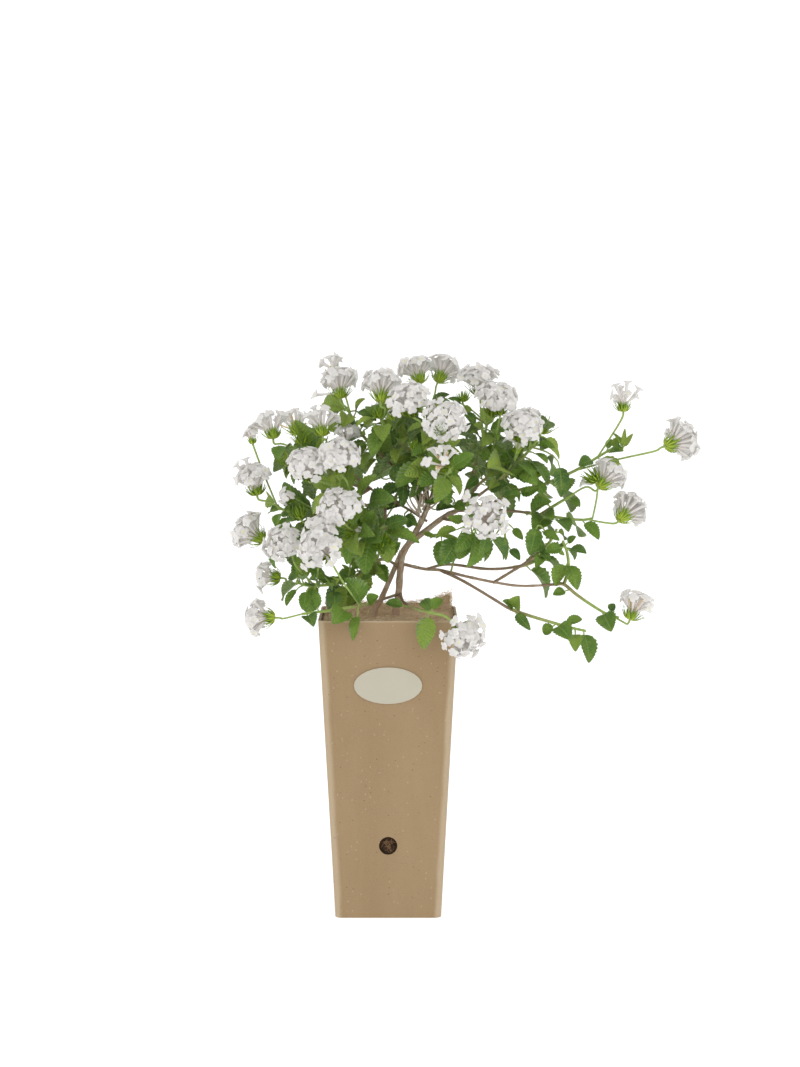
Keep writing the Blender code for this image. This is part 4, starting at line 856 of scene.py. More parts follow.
def old_leaves(root, axis, turn, size, rng):
    """Several turned, drooped and shortened tries of a leaf that looks up and outwards."""
    light = np.array([0, 0, 0.45]) + unit(root - PLANT_CENTRE) * 0.9
    for k, (a, b, c, d) in enumerate(rng.uniform(-1, 1, (OLD_TRIES, 4))):
        long = size * (1 - 0.018 * k) * (1 + 0.1 * d)
        yield stem_leaf(root, axis, turn + a * (0.15 + 0.08 * k), 0.35, 1, long, long * LEAF_WIDTH,
                        0.55 + 0.4 * b + 0.01 * k, 6 + 2 * c, light)


def fitted(tries, owner, taken, lowest, near, gap):
    """The first of several leaves that stays above the rim and touches nothing; it takes its place."""
    for leaf in tries:
        points = leaf.samples()
        if points[:, 2].min() > lowest and taken.room(points, owner, leaf.root, near) > gap:
            taken.add(points, 0.4, owner)
            return [leaf]
    return []


# The old leaves are placed before any shoot is made: first those listed, then the pairs.
space = Taken()
for owner, spray in enumerate(SPRAYS):
    lay_out(spray)
    for path in spray.stem_paths:
        space.add(walk(path, 2.5), THICK, owner)
    space.add(walk(np.array(spray.twig), 2.5), 1.0, TWIG_OWNER)
    for _, stalk, facing, radius in spray.stalks:
        space.add(walk(stalk, 2.5), 0.8, owner)
        space.add(head_middle(stalk[-1], facing, radius)[None], radius + 0.5, HEAD_OWNER)
        space.add(stalk[-1][None] + facing * 1.5, radius * 0.5, HEAD_OWNER)
for start, _, line in BRANCHES:
    space.add(walk(np.array(traced(line)), 2.5), start, TWIG_OWNER)
for owner, spray in enumerate(SPRAYS):
    spray.blades = [hand_leaf(spray, place) for place in spray.leaves]
    for leaf in spray.blades:
        space.add(leaf.samples(), 0.4, owner)

rng = np.random.default_rng(11)
for owner, spray in enumerate(SPRAYS):
    for stem, first, last, count in spray.pairs:
        start = rng.uniform(0, math.pi)
        for k, share in enumerate(np.linspace(first, last, count)):
            root, axis = along_path(spray.stem_paths[stem], share)
            size = spray.size * (1.08 - 0.5 * share * last)
            for half in (0, math.pi):
                tries = old_leaves(root, axis, start + k * math.pi / 2 + half, size, rng)
                spray.blades += fitted(tries, owner, space, SLEEVE_HEIGHT + 3, 7.0, OLD_ROOM)


def bark_tube(path, start, end, rng, sides=10):
    """A branch: rings round a smooth path whose radius runs from start to end, with a knot every 9 to
    14 mm, where it swells by a bell curve, and small ridges that wander round it."""
    steps = reach_along(path)
    radius = start + (end - start) * steps / steps[-1]
    knots = np.arange(rng.uniform(2, 9), steps[-1], rng.uniform(9, 14))
    swell = np.exp(-((steps[:, None] - knots) / 1.3) ** 2).sum(1) * 0.16
    rings = tubes(path[None], (radius * (1 + swell))[None], sides)
    turn = np.arange(sides) * math.tau / sides
    ridge = 0.07 * np.sin(3 * turn + steps[:, None] * 0.13) + rng.uniform(-0.04, 0.04, (len(path), sides))
    rings = path[None, :, None] + (rings - path[None, :, None]) * (1 + ridge)[None, ..., None]
    place = np.stack(np.broadcast_arrays(steps[:, None], radius[:, None] * np.cos(turn),
                                         radius[:, None] * np.sin(turn)), -1)
    return rings, place[None]


# Dead twigs that stick out of the fork of the two main stems.
DEAD_TWIGS = ["22 262 -1, 20 271 -8, 22 282 -14, 19 290 -18",
              "24 266 0, 27 274 -8, 25 284 -12, 28 291 -16", "20 268 -6, 15 276 -12, 13 285 -13",
              "22 275 -9, 24 281 -16, 29 285 -22", "21 272 -9, 18 279 -17, 20 286 -24",
              "22 268 -2, 19 276 -10, 14 281 -14", "23 270 -2, 28 277 -10, 33 281 -14",
              "22 272 -4, 20 281 -10, 17 288 -12", "23 272 -4, 25 281 -10, 27 290 -12",
              "21 266 -3, 15 271 -9, 10 279 -12", "24 268 -3, 31 273 -9, 36 279 -12"]

wood = Batch()
rng = np.random.default_rng(7)
for start, end, line in BRANCHES:
    slim = SLIM if start < SLIM_BELOW else 1
    rings, place = bark_tube(smooth(traced(line), 8), start * slim, end * slim, rng)
    wood.add(rings, place, (0, start / THICKEST, 0))
for spray in SPRAYS:
    full = smooth([*spray.twig, *spray.stems[0]], 6)
    fork = 6 * (len(spray.twig) - 1)
    spray.shoot = full[fork:]
    foot = full[0] - unit(full[1] - full[0]) * 0.8
    twig = np.vstack([foot[None], full[:fork + 1]])
    rings, place = bark_tube(twig, TWIG_START * SLIM, THICK * SLIM, rng, 8)
    wood.add(rings, place, (0, 0.4, 0))
for line in DEAD_TWIGS:
    rings, place = bark_tube(smooth(traced(line), 6), 0.75, 0.35, rng, 6)
    wood.add(rings, place, (1, 0, 0))

bark = Finish("bark", 0.85, 0.25)
spot = bark.place()
along_bark = bark.painted_on("place")
dead_part, thick_part, _ = bark.painted_on("paint").parts()
cracks = along_bark.stretched(0.35, 2.2, 2.2).noise(1.6, 4, 0.65)
plates = along_bark.stretched(0.18, 1, 1).noise(1.1, 3)
grey = (cracks * 0.6 + plates * 0.4).ramp(0.36, 0.62).painted(BARK_DARK, BARK_GREY)
grey = (spot.noise(230, 2).ramp(0.52, 0.66) * 0.55).painted(grey, BARK_PALE)
low = (spot.parts()[2] + spot.noise(120, 2) * 0.008).ramp(0.232, 0.208)
grey = (low * thick_part.ramp(0.5, 0.7) * 0.6).painted(grey, BARK_RED)
grey = (thick_part.ramp(0.62, 0.42) * (1 - dead_part) * 0.70).painted(grey, TWIG_BROWN)
grey = (dead_part * 0.7).painted(grey, BARK_PALE)
bark.set("Base Color", grey)
bark.bump(cracks, 0.0006)

wood_piece = wood.piece("woody_branches", bark)
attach(wood_piece, "root")
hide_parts("trunk")


# Green shoots: each ends one twig, with four-angled stems, leaves in opposite pairs, and flower
# stalks that open into cups of green bracts. The leaves are thick and rough, quilted between sunken
# veins that each end in a tooth of the edge, and paler and greyer below.

LEAF_DARK = (0.050, 0.122, 0.026)
LEAF_MID = (0.125, 0.238, 0.022)
LEAF_LIGHT = (0.300, 0.400, 0.060)
LEAF_VEIN = (0.200, 0.300, 0.065)
UNDER_DARK = (0.150, 0.225, 0.080)
UNDER_GREEN = (0.220, 0.310, 0.110)
UNDER_VEIN = (0.340, 0.430, 0.200)
STEM_GREEN = (0.300, 0.420, 0.100)
STEM_BROWN = (0.330, 0.250, 0.120)
STEM_SPECK = (0.090, 0.085, 0.030)
BRACT_GREEN = (0.220, 0.365, 0.022)
# Pale green of the bracts' bases, and also the painted highlight down their keels.
BRACT_PALE_AND_KEEL_HIGHLIGHT = (0.430, 0.545, 0.050)
# Painted shade, for the bracts' edges.
BRACT_SHADE = (0.060, 0.110, 0.010)
OLD_TEETH = 9
YOUNG_TEETH = 7
YOUNG_TRIES = 10
YOUNG_GAP = 4.5
YOUNG_ROOM = 1.0
YOUNG_SIZE = 17.0
YOUNG_TONE = 0.35
BRACTS = 10
BRACT_WIDTH = 1.7
LEAF_COLUMNS = np.array([1.0, 0.5, 0.0, -0.5, -1.0, 0.0])
LEAF_RELIEF = np.array([0.0, 1.0, 0.0, 1.0, 0.0, 0.0])
LEAF_KEEL = np.array([0.0, 0.0, -0.12, 0.0, 0.0, -0.5])
LEAF_SIDES = [0, 0, 0, 0, 1, 1]

# Whorls of bracts, in radii of the head or bud: reach and rise for a cup, and reach, rise, width and
# number for a bud.
CUP = [(0.56, 0.26), (0.52, 0.42), (0.40, 0.54), (0.28, 0.56)]
BUD = [(1.9, 1.1, 0.5, 11), (1.5, 2.0, 0.5, 10), (0.8, 2.5, 0.45, 7)]

# Shoots without young leaves, and how much a head leans back from the viewer.
BARE = ("right_mid", "right_upper", "right_low", "right_across", "right_trailing", "right_thin",
        "rim_left", "rim_front")
LEANING = {"head_top_left_a": 0.3, "head_top_left_b": 0.55, "head_top": 0.5, "heads_top_back": 0.5,
           "head_left_top": 0.35, "head_left_mid": 0.6, "head_left_out": 0.3, "head_right_tall": 0.2,
           "head_far_right": 0.7, "head_right_upper": 0.75, "head_right_mid": 0.95,
           "head_left_low_out": 0.6, "head_right_low": 0.5, "head_rim_left": 0.35, "head_left_low_b": 0.4}


def outline(t):
    """Half the width of a blade at t along it, as a share: a round base and a blunt tip."""
    return 0.5 * np.sin(math.pi * np.clip(t, 0, 1) ** 0.76) ** 0.65


def leaf_rings(leaves, teeth, rng):
    """Rings across each blade, (n, rows, 6, 3), and the row, column and length painted on them.

    A row t runs from the midrib to the edge and leans forward by 0.2 sin(pi t) of the length. Odd
    rows are veins: they lie low and end in a tooth, and the blade swells between them. The tip bends
    down by a square of the row, and the edges wave by a sine of it.
    """
    n, high = len(leaves), 2 * teeth + 2
    m = np.arange(high)
    t = 0.012 + (0.988 - 0.012) * (m / (high - 1)) ** 0.95
    v = LEAF_COLUMNS
    tooth = np.where(m % 2 == 1, 1.05, 0.90)
    tooth[[0, -1]] = 1.0
    length = np.array([leaf.length for leaf in leaves])[:, None, None] * rng.uniform(0.84, 1, (n, 1, 1))
    width = np.array([leaf.width for leaf in leaves])[:, None, None] * rng.uniform(0.76, 1.02, (n, 1, 1))
    lean = t[:, None] + 0.2 * np.abs(v) * np.sin(math.pi * t[:, None])
    lean = np.clip(lean, 0, 0.992)
    y = v * width * outline(lean) * np.where(np.abs(v) == 1, tooth[:, None], 1)
    swell = np.where(m % 2 == 1, -0.014, 0.012)[:, None] * LEAF_RELIEF * length
    swell = swell * np.sin(math.pi * t[:, None]) ** 0.6
    wave = rng.uniform(0.0, 0.022, (n, 1, 1)) * length * v**2 * np.sin(
        rng.uniform(5, 8, (n, 1, 1)) * t[:, None] + rng.uniform(0, 6, (n, 1, 1)) + np.sign(v) * 1.2)
    droop = rng.uniform(-0.01, 0.06, (n, 1, 1)) * length * np.clip(t[:, None] - 0.45, 0, 1) ** 2 * 3
    crease = FOLD * rng.uniform(0.5, 2.2, (n, 1, 1))
    z = ARCH * length * 4 * lean * (1 - lean) + crease * np.abs(y) + swell + wave - droop
    z = z + LEAF_KEEL * np.sin(math.pi * np.clip(t[:, None], 0.04, 0.96)) ** 0.5
    x = length * lean
    bases, alongs, sides, ups = (np.array([getattr(leaf, name) for leaf in leaves])[:, None, None]
                                 for name in ("base", "along", "side", "up"))
    roll = rng.normal(0, 0.22, (n, 1, 1, 1))
    sides, ups = sides * np.cos(roll) + ups * np.sin(roll), ups * np.cos(roll) - sides * np.sin(roll)
    rings = bases + x[..., None] * alongs + y[..., None] * sides + z[..., None] * ups
    return rings, np.stack(np.broadcast_arrays(m[:, None] / 2, v, length), -1)


def petiole_paths(leaves, stems):
    """Leaf stalks: a Bezier curve from the nearest point of the stems to each blade's base, which it
    meets along the midrib."""
    every = np.vstack(stems)
    roots = np.array([nearest(every, leaf.root) for leaf in leaves])
    bases = np.array([leaf.base - 0.15 * leaf.up for leaf in leaves])
    alongs = np.array([leaf.along for leaf in leaves])
    gap = np.linalg.norm(bases - roots, axis=1)[:, None]
    s = np.linspace(0, 1, 6)[None, :, None]
    ahead = bases - alongs * gap * 0.4
    start = roots + (ahead - roots) * 0.4
    return ((1 - s) ** 3 * roots[:, None] + 3 * (1 - s) ** 2 * s * start[:, None]
            + 3 * (1 - s) * s**2 * ahead[:, None] + s**3 * (bases + alongs * 0.4)[:, None])


def bract_rings(at, axis, reach, rise, low, wide, count, rng, start=0.0):
    """A whorl of narrow pointed bracts, (count, 6, 4, 3), and their places: share of the length,
    column, and 0. At s along it, a bract is 0.7 + (reach - 0.7) s^0.55 out from the axis and
    low + (rise - low) s^1.6 up it, and as wide as sin(pi s^0.6); tips flare outwards."""
    first, second = across(np.asarray(axis, float))
    turn = start + (np.arange(count) + rng.uniform(-0.15, 0.15, count)) * math.tau / count
    out = (np.cos(turn)[:, None] * first + np.sin(turn)[:, None] * second)[:, None, None]
    side = (-np.sin(turn)[:, None] * first + np.cos(turn)[:, None] * second)[:, None, None]
    s = np.linspace(0.02, 0.98, 6)
    size = rng.uniform(0.8, 1.15, (count, 1, 1))
    flare = rng.uniform(-0.05, 0.35, (count, 1, 1)) * s[None, :, None] ** 4
    far = 0.7 + (reach * size - 0.7) * (s[None, :, None] ** 0.55 + flare)
    high = low + (rise * size - low) * s[None, :, None] ** 1.6
    half = wide * np.sin(math.pi * s**0.6) ** 0.9 * 0.5
    column = np.array([1.0, 0.0, -1.0, 0.0])
    lift = np.array([0.12, 0.0, 0.12, 0.26])
    y = half[None, :, None] * column
    back = (far - lift)[..., None]
    rings = at + back * out + y[..., None] * side + (high + lift)[..., None] * unit(axis)
    return rings, np.stack(np.broadcast_arrays(s[:, None], column, 0.0), -1)


def add_cup(batch, at, facing, whorls, low, step, finish, rng):
    """Adds whorls of bracts, each given as reach, rise, width and number, and turned by a step."""
    for k, (reach, rise, wide, count) in enumerate(whorls):
        rings, place = bract_rings(at, facing, reach, rise, low, wide, count, rng, k * step)
        batch.add(rings, place, 0, finish)


def young_leaves(root, axis, turn, rng):
    """Several tries of a small leaf that turns its face to the front or the back of the plant."""
    nearer = -0.9 if root[1] < 14 else 0.8
    for k, (a, b, c, d) in enumerate(rng.uniform(-1, 1, (YOUNG_TRIES, 4))):
        way = turn + a * (0.2 + 0.1 * k)
        long = (YOUNG_SIZE + 5 * d) * (1 - 0.03 * k)
        light = np.array([0.45 * math.sin(way * 7), nearer, 0.5 + 0.4 * math.cos(way * 5)])
        yield stem_leaf(root, axis, way, 0.3, (1, 0.6, 1), long, long * (0.68 + 0.12 * math.sin(way * 3)),
                        0.3 + 0.5 * b, 5 + 2 * c, light + unit(root - PLANT_CENTRE) * 0.5)


def path_share(path):
    """The share of its length reached at each point of a path."""
    reach = np.concatenate([[0], np.cumsum(np.linalg.norm(np.diff(path, axis=0), axis=1))])
    return reach / reach[-1]


# Leaves of short inner shoots, each as base, tip, width and tone.
INNER_LEAVES = ("36 249 -16 35 231 -21 13 0.3, 47 247 -12 45 238 -17 9 0.45, 24 254 -8 33 251 -13 4 0.8, "
                "34 253 -12 49 249 -17 4 0.85, 73 249 -22 80 243 -27 7 0.9, 82 243 -18 89 235 -23 8 0.2, "
                "99 257 -16 95 239 -21 13 0.3, 63 250 -20 68 240 -25 9 0.7, 78 251 -26 79 235 -31 6 0.65, "
                "104 255 -8 115 249 -13 8 0.5, 84 257 -12 91 249 -17 6 0.6, "
                "103 242 -10 109 235 -15 8 0.25, 115 298 -14 116 277 -19 13 0.1, "
                "96 268 -8 110 276 -13 13 0.35, 77 278 -14 90 281 -19 7 0.25, "
                "68 283 -10 81 288 -15 10 0.1, 89 281 -6 103 285 -11 8 0.4, 28 283 -22 45 281 -27 5 0.9, "
                "41 295 -12 59 304 -17 14 0.45, 12 260 -6 20 262 -11 7 0.2, 1 291 -8 23 302 -13 13 0.15, "
                "18 304 -14 33 310 -19 7 0.6, 4 313 -6 2 326 -11 9 0.1, 23 313 -4 18 324 -9 9 0.15, "
                "32 270 6 46 272 1 7 0.2, -4 281 -2 13 285 -7 11 0.2, -2 270 4 12 273 -1 9 0.2, "
                "15 288 0 29 291 -5 9 0.3, 62 307 -16 73 302 -21 8 0.5, 76 302 -10 89 309 -15 9 0.5, "
                "82 291 -12 92 298 -17 8 0.6, 60 291 -6 51 284 -11 8 0.3, 54 277 4 63 281 -1 8 0.2, "
                "104 281 -4 98 291 -9 8 0.5, 96 301 -8 89 293 -13 7 0.7, -2 259 2 9 265 -3 8 0.2, "
                "25.3 290.8 -14 13.9 277.4 -20 9 0.3, 10.5 289.5 -8 9.2 269.3 -14 9 0.15, "
                "4.5 278 -10 -11 270.7 -18 10 0.45, 42.8 281.4 -16 27.3 282.7 -26 7 0.8, "
                "41.5 277.4 -8 33.4 270.7 -16 9 0.3, 44.8 274 -10 52.9 268.6 -16 8 0.4, "
                "11.2 265.3 -6 20 258.6 -14 9 0.25, 32.7 292.2 -10 20.6 287.5 -18 8 0.35, "
                "17.3 294.9 -12 6.5 290.2 -20 9 0.4, 34 276 -6 22.6 274 -12 6 0.2, "
                "6 284 -4 -4 279 -8 9 0.1, 16 284 -2 21 272.5 -8 8 0.1, 157 311.5 10 149.5 322 6 5 0.6, "
                "157 313 10 158.4 325 6 4 0.95, 158 312.5 10 164 321.5 6 4.5 0.95, "
                "156 310 10 149.5 313 6 5 0.4, 48.5 341 -2 39.7 344.5 -8 5 0.2, "
                "50.5 338 -2 57 336 -8 5 0.8, 52 334 -4 58 325 -10 9 0.15, 49 331 -4 44 321 -10 8 0.25, "
                "-68 301 -12 -70 310.5 -16 4.5 0.95, -66 301 -12 -61.5 311 -16 4.5 0.9, "
                "-70 300 -12 -77 306 -16 5 0.7")

rng = np.random.default_rng(23)
for owner, spray in enumerate(SPRAYS):
    spray.young = []
    if spray.name in BARE:
        continue
    for path in spray.stem_paths:
        far = np.linalg.norm(np.diff(path, axis=0), axis=1).sum()
        for share in np.arange(YOUNG_GAP * 0.5, far, YOUNG_GAP) / far:
            root, axis = along_path(path, share)
            start = rng.uniform(0, math.tau)
            for half in (0, math.pi):
                tries = young_leaves(root, axis, start + half, rng)
                spray.young += fitted(tries, owner, space, SLEEVE_HEIGHT, 6.0, YOUNG_ROOM)

blade = Finish("leaf", 0.56, 0.3)
mark, column, _ = blade.painted_on("place").parts()
tone = blade.painted_on("paint").parts()[0]
spot = blade.place()
between = (mark + 0.5).maths("PINGPONG", 0.5)
vein = between.ramp(0.10, 0.02)
midrib = abs(column).ramp(0.10, 0.03)
rough = spot.noise(1500, 3, 0.6)
pebble = spot.cells(1150)
green = tone.ramp(0.0, 0.55).painted(LEAF_DARK, LEAF_MID)
green = tone.ramp(0.5, 1.0).painted(green, LEAF_LIGHT)
green = (spot.noise(170, 3).ramp(0.35, 0.75) * 0.35).painted(green, LEAF_LIGHT)
green = (rough.ramp(0.62, 0.40) * 0.30).painted(green, LEAF_DARK)
green = (vein * 0.35).painted(green, LEAF_VEIN)
green = (midrib * 0.7).painted(green, LEAF_VEIN)
blade.set("Base Color", green)
blade.set("Roughness", rough * 0.25 + 0.42)
blade.bump(between * 0.8 - pebble * 0.5 + rough * 0.3, 0.0007)

under = Finish("leaf_under", 0.78, 0.2)
mark, column, _ = under.painted_on("place").parts()
between = (mark + 0.5).maths("PINGPONG", 0.5)
net = (between.ramp(0.12, 0.03) * 0.6).maths("MAXIMUM", abs(column).ramp(0.12, 0.04))
pale = under.place().noise(400, 3).ramp(0.3, 0.7).painted(UNDER_GREEN, UNDER_DARK)
under.set("Base Color", net.painted(pale, UNDER_VEIN))
under.bump(net + under.place().noise(1600, 2) * 0.4, 0.0004)

shoot = Finish("green_stem", 0.7, 0.3, Sheen_Weight=0.15)
age = shoot.painted_on("paint").parts()[0]
speck = shoot.place().noise(700, 3)
hue = (age + shoot.place().noise(90, 2) * 0.5 - 0.25).ramp(0.25, 0.85).painted(STEM_GREEN, STEM_BROWN)
shoot.set("Base Color", (speck.ramp(0.55, 0.35) * 0.35).painted(hue, STEM_SPECK))
shoot.bump(speck, 0.0003)

cup = Finish("bract", 0.6, 0.35)
share, column, _ = cup.painted_on("place").parts()
leafy = (share + cup.place().noise(500, 2) * 0.4 - 0.2).ramp(0.0, 0.9).painted(BRACT_PALE_AND_KEEL_HIGHLIGHT, BRACT_GREEN)
# Painted shade darkens each bract's edges, where the bracts overlap, and a painted highlight lightens its
# keel.
leafy = (abs(column).ramp(0.30, 0.95) * 0.75).painted(leafy, BRACT_SHADE)
cup.set("Base Color", (abs(column).ramp(0.22, 0.05) * 0.4).painted(leafy, BRACT_PALE_AND_KEEL_HIGHLIGHT))
cup.bump(cup.place().noise(1400, 2), 0.0003)

rng = np.random.default_rng(31)
grown = [smooth(traced(line), 8) for _, _, line in BRANCHES]
for spray in SPRAYS:
    green_parts = Batch()
    stems = [spray.shoot]
    for start, *rest in spray.stems[1:]:
        stems.append(smooth([nearest(spray.shoot, start), *rest], 6))
    grown += stems
    for path, brown in zip(stems, (0.85, 0.6)):
        slimmer = THICK * (1 - 0.3 * path_share(path))
        aged = first_of_three(brown * (1 - path_share(path))[None, :, None])
        green_parts.add(tubes(path[None], slimmer[None], 8, 0.10), 0, aged, 2)
    for k, (name, stalk, facing, radius) in enumerate(spray.stalks):
        facing = unit(facing + np.array([0, LEANING.get(name, 0.0), 0]))
        spray.stalks[k] = (name, stalk, facing, radius)
        path = smooth([nearest(np.vstack(stems), stalk[0]), *stalk[1:]], 5)
        green_parts.add_stalks(path[None], 0.6, 0.75, 6, 0.2, 2)
        whorls = [(radius * reach, radius * rise, BRACT_WIDTH, BRACTS) for reach, rise in CUP]
        add_cup(green_parts, stalk[-1], facing, whorls, -1.6, 0.4, 3, rng)
    for spot, facing, size in spray.buds:
        spot = seen(*spot)
        foot = nearest(np.vstack(stems), spot)
        if np.linalg.norm(spot - foot) > 0.5:
            path = smooth([foot, (foot + spot) / 2 + (0, 0, -0.4), spot], 5)
            green_parts.add_stalks(path[None], 0.6, 0.6, 6, 0.2, 2)
        whorls = [(size * reach, size * rise, size * wide, count) for reach, rise, wide, count in BUD]
        add_cup(green_parts, spot, facing, whorls, -1.2, 1, 3, rng)
    for leaves, teeth, fresh in ((spray.blades, OLD_TEETH, 0), (spray.young, YOUNG_TEETH, YOUNG_TONE)):
        if leaves:
            rings, place = leaf_rings(leaves, teeth, rng)
            high = np.array([leaf.base[2] for leaf in leaves])
            # Painted light: leaves higher on the plant get a lighter tone, as if more light fell on them;
            # young leaves are paler besides.
            lighter_above_and_young = 0.35 * np.clip((high - 225) / 100, 0, 1) + fresh * rng.uniform(0, 1, len(leaves))
            tone = np.clip(0.80 * rng.beta(0.9, 1.2, len(leaves)) + lighter_above_and_young, 0, 1)
            green_parts.add(rings, place, first_of_three(tone[:, None, None]), LEAF_SIDES)
            green_parts.add_stalks(petiole_paths(leaves, stems), 0.62, 0.45, 5, 0.15, 2)
    leafy_shoot = green_parts.piece("shoot_" + spray.name, blade, under, shoot, cup)
    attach(leafy_shoot, "root")
    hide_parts("spray_" + spray.name)

inner = Batch()
leaves, tones = [], []
every = np.vstack(grown)
for *base, x, z, depth, width, tone in rows(INNER_LEAVES):
    base = seen(*base)
    facing = (rng.uniform(-0.3, 0.3), -0.9, 0.5)
    leaves.append(Leaf(nearest(every, base), base, seen(x, z, depth), width, facing))
    tones.append(tone)
rings, place = leaf_rings(leaves, OLD_TEETH, rng)
inner.add(rings, place, first_of_three(np.array(tones)[:, None, None]), LEAF_SIDES)
inner.add_stalks(petiole_paths(leaves, grown), 0.7, 0.45, 5, 0.4, 2)
inner_leaves = inner.piece("inner_leaves", blade, under, shoot)
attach(inner_leaves, "root")


# Flower heads: domes of florets on slender tubes that fan out of each cup. Every floret flares into
# four rounded lobes round a narrow throat. They are white, with yellow throats and a pink blush on the
# tubes, and brown tubes stand where florets have dropped.

DOME_HEIGHT = 0.85
LOBES = np.tile([0.66, 0.95, 1.0, 0.93], 4)
LIMB = 4.0
USUAL_RADIUS = 13.5
PETAL_WHITE = (0.610, 0.592, 0.572)
PETAL_SHADE = (0.545, 0.526, 0.500)
TUBE_PINK = (0.650, 0.560, 0.515)
DRIED_TAN = (0.710, 0.590, 0.400)
DRIED_BROWN = (0.580, 0.400, 0.230)
THROAT_YELLOW = (0.680, 0.640, 0.270)

# How full a head is, and the heads that differ: florets, spread, raggedness and how many have dropped.
FULL = (33, 1.11, 0.15, 0)
LOOK = {"head_centre_c": (10, 1.25, 0.22, 7), "head_right_tall": (9, 1.0, 0.2, 0),
        "head_right_low": (15, 1.12, 0.2, 5), "head_front_right": (24, 1.2, 0.25, 8),
        "head_rim_front": (26, 1.15, 0.25, 0), "head_centre_b": (32, 1.15, 0.12, 0),
        "head_front_left": (36, 1.18, 0.15, 0), "head_front_low": (36, 1.12, 0.15, 0),
        "head_right_top_b": (34, 1.15, 0.15, 0), "head_right_shoulder": (34, 1.12, 0.15, 0),
        "head_top_left_a": (12, 1.1, 0.2, 0), "head_left_low_b": (18, 1.1, 0.2, 0),
        "head_left_top": (15, 1.1, 0.2, 0), "head_left_mid": (14, 1.1, 0.2, 0),
        "head_back_left": (9, 1.0, 0.25, 5)}


def floret_rings(root, bend, ends, facing, size, rng):
    """Rings of each floret, (n, 6, 16, 3): the tube's root, its bend and its neck, the lobed rim, the
    middle of the lobes and the sunk throat. A rim point lies at size times its lobe's share from the
    centre, and the lobes bend down by the square of that."""
    n = len(root)
    first, second = across(facing)
    turn = rng.uniform(0, math.tau, (n, 1)) + np.arange(16) * math.tau / 16
    out = (np.cos(turn)[..., None] * first[:, None] + np.sin(turn)[..., None] * second[:, None])[:, None]
    lobes = LOBES * (1 + 0.14 * (np.arange(16) // 4 == 0))
    lobes = lobes * rng.uniform(0.86, 1.08, (n, 4)).repeat(4, axis=1) * rng.normal(1, 0.04, (n, 16))
    size = size[:, None]
    fall = rng.uniform(0.0, 0.14, (n, 1)) + rng.uniform(-0.12, 0.14, (n, 4)).repeat(4, axis=1)
    flat = 0 * lobes
    far = np.stack([0.40 + flat, 0.58 + flat, 1.25 + flat,
                    size * lobes, size * lobes * 0.5, 0.36 + flat], 1)
    high = np.stack([flat, flat, -1.5 + flat,
                     0.1 - size * lobes**2 * fall, 0.24 + flat, -0.25 + flat], 1)
    middle = np.stack([root, bend, ends, ends, ends, ends], 1)[:, :, None]
    return middle + far[..., None] * out + high[..., None] * facing[:, None, None]


def floret_paint(throats, tones):
    """What is painted on florets, (n, 6, 1, 3): how much a ring belongs to the tube, how yellow the
    throat is, and how grey the petals are."""
    paint = np.zeros((len(throats), 6, 1, 3))
    paint[:, :3, 0, 0] = [1, 0.7, 0.25]
    paint[:, 5, 0, 1] = throats
    paint[:, :, 0, 2] = tones[:, None]
    return paint


def dome(count, rng):
    """Directions spread evenly over a dome: a sunflower's spiral, each shaken a little."""
    k = np.arange(count)
    high = 0.99 - 0.74 * (k + 0.5) / count
    turn = k * math.pi * (3 - math.sqrt(5)) + rng.uniform(0, 6)
    flat = np.sqrt(1 - high**2)
    way = np.stack([flat * np.cos(turn), flat * np.sin(turn), high], 1)
    return unit(way + rng.normal(0, 0.08, (count, 3)))


def flower_head(batch, at, facing, radius, look, rng):
    """Adds one head: florets whose limbs lie near the dome, on tubes that rise out of the cup and bend
    outwards, and the brown tubes of those that have dropped. Its look is the number of florets for a
    head of the usual radius, how far it spreads, how ragged it is, and how many have dropped."""
    count, spread, ragged, dropped = look
    count = max(round(count * (radius / USUAL_RADIUS) ** 2), 1)
    radius = radius * spread
    first, second = across(facing)
    way = dome(count, rng)
    stretch = np.stack([first, second, facing * DOME_HEIGHT])
    reach = (radius - 0.5) * rng.uniform(0.97 - ragged, 1.05, (count, 1))
    ends = head_middle(at, facing, radius) + way @ stretch * reach
    normal = unit(unit(way @ np.stack([first, second, facing])) + rng.normal(0, 0.22, (count, 3)))
    rise = (ends - at) @ facing
    aside = (ends - at) - rise[:, None] * facing
    root = at + facing * 1.2 + aside * 0.10
    bend = at + facing * np.minimum(5.5, rise * 0.6)[:, None] + aside * 0.33
    rings = floret_rings(root, bend, ends, normal, LIMB * rng.uniform(0.80, 1.08, count), rng)
    batch.add(rings, 0, floret_paint(rng.uniform(0, 1, count), rng.uniform(0, 1, count)))
    if dropped:
        way = dome(3 * dropped, rng)[:dropped] @ stretch
        way = way + rng.normal(0, 0.12, (dropped, 3))
        s = np.linspace(0.15, 1, 5)[None, :, None]
        paths = at + facing * 1.0 + way[:, None] * (radius * rng.uniform(0.75, 0.95, (dropped, 1, 1))) * s
        paths = paths + facing * s**2 * 2.0
        batch.add(tubes(paths, np.array([0.35, 0.42, 0.5, 0.62, 0.8])[None], 6), 0, 0, 1)


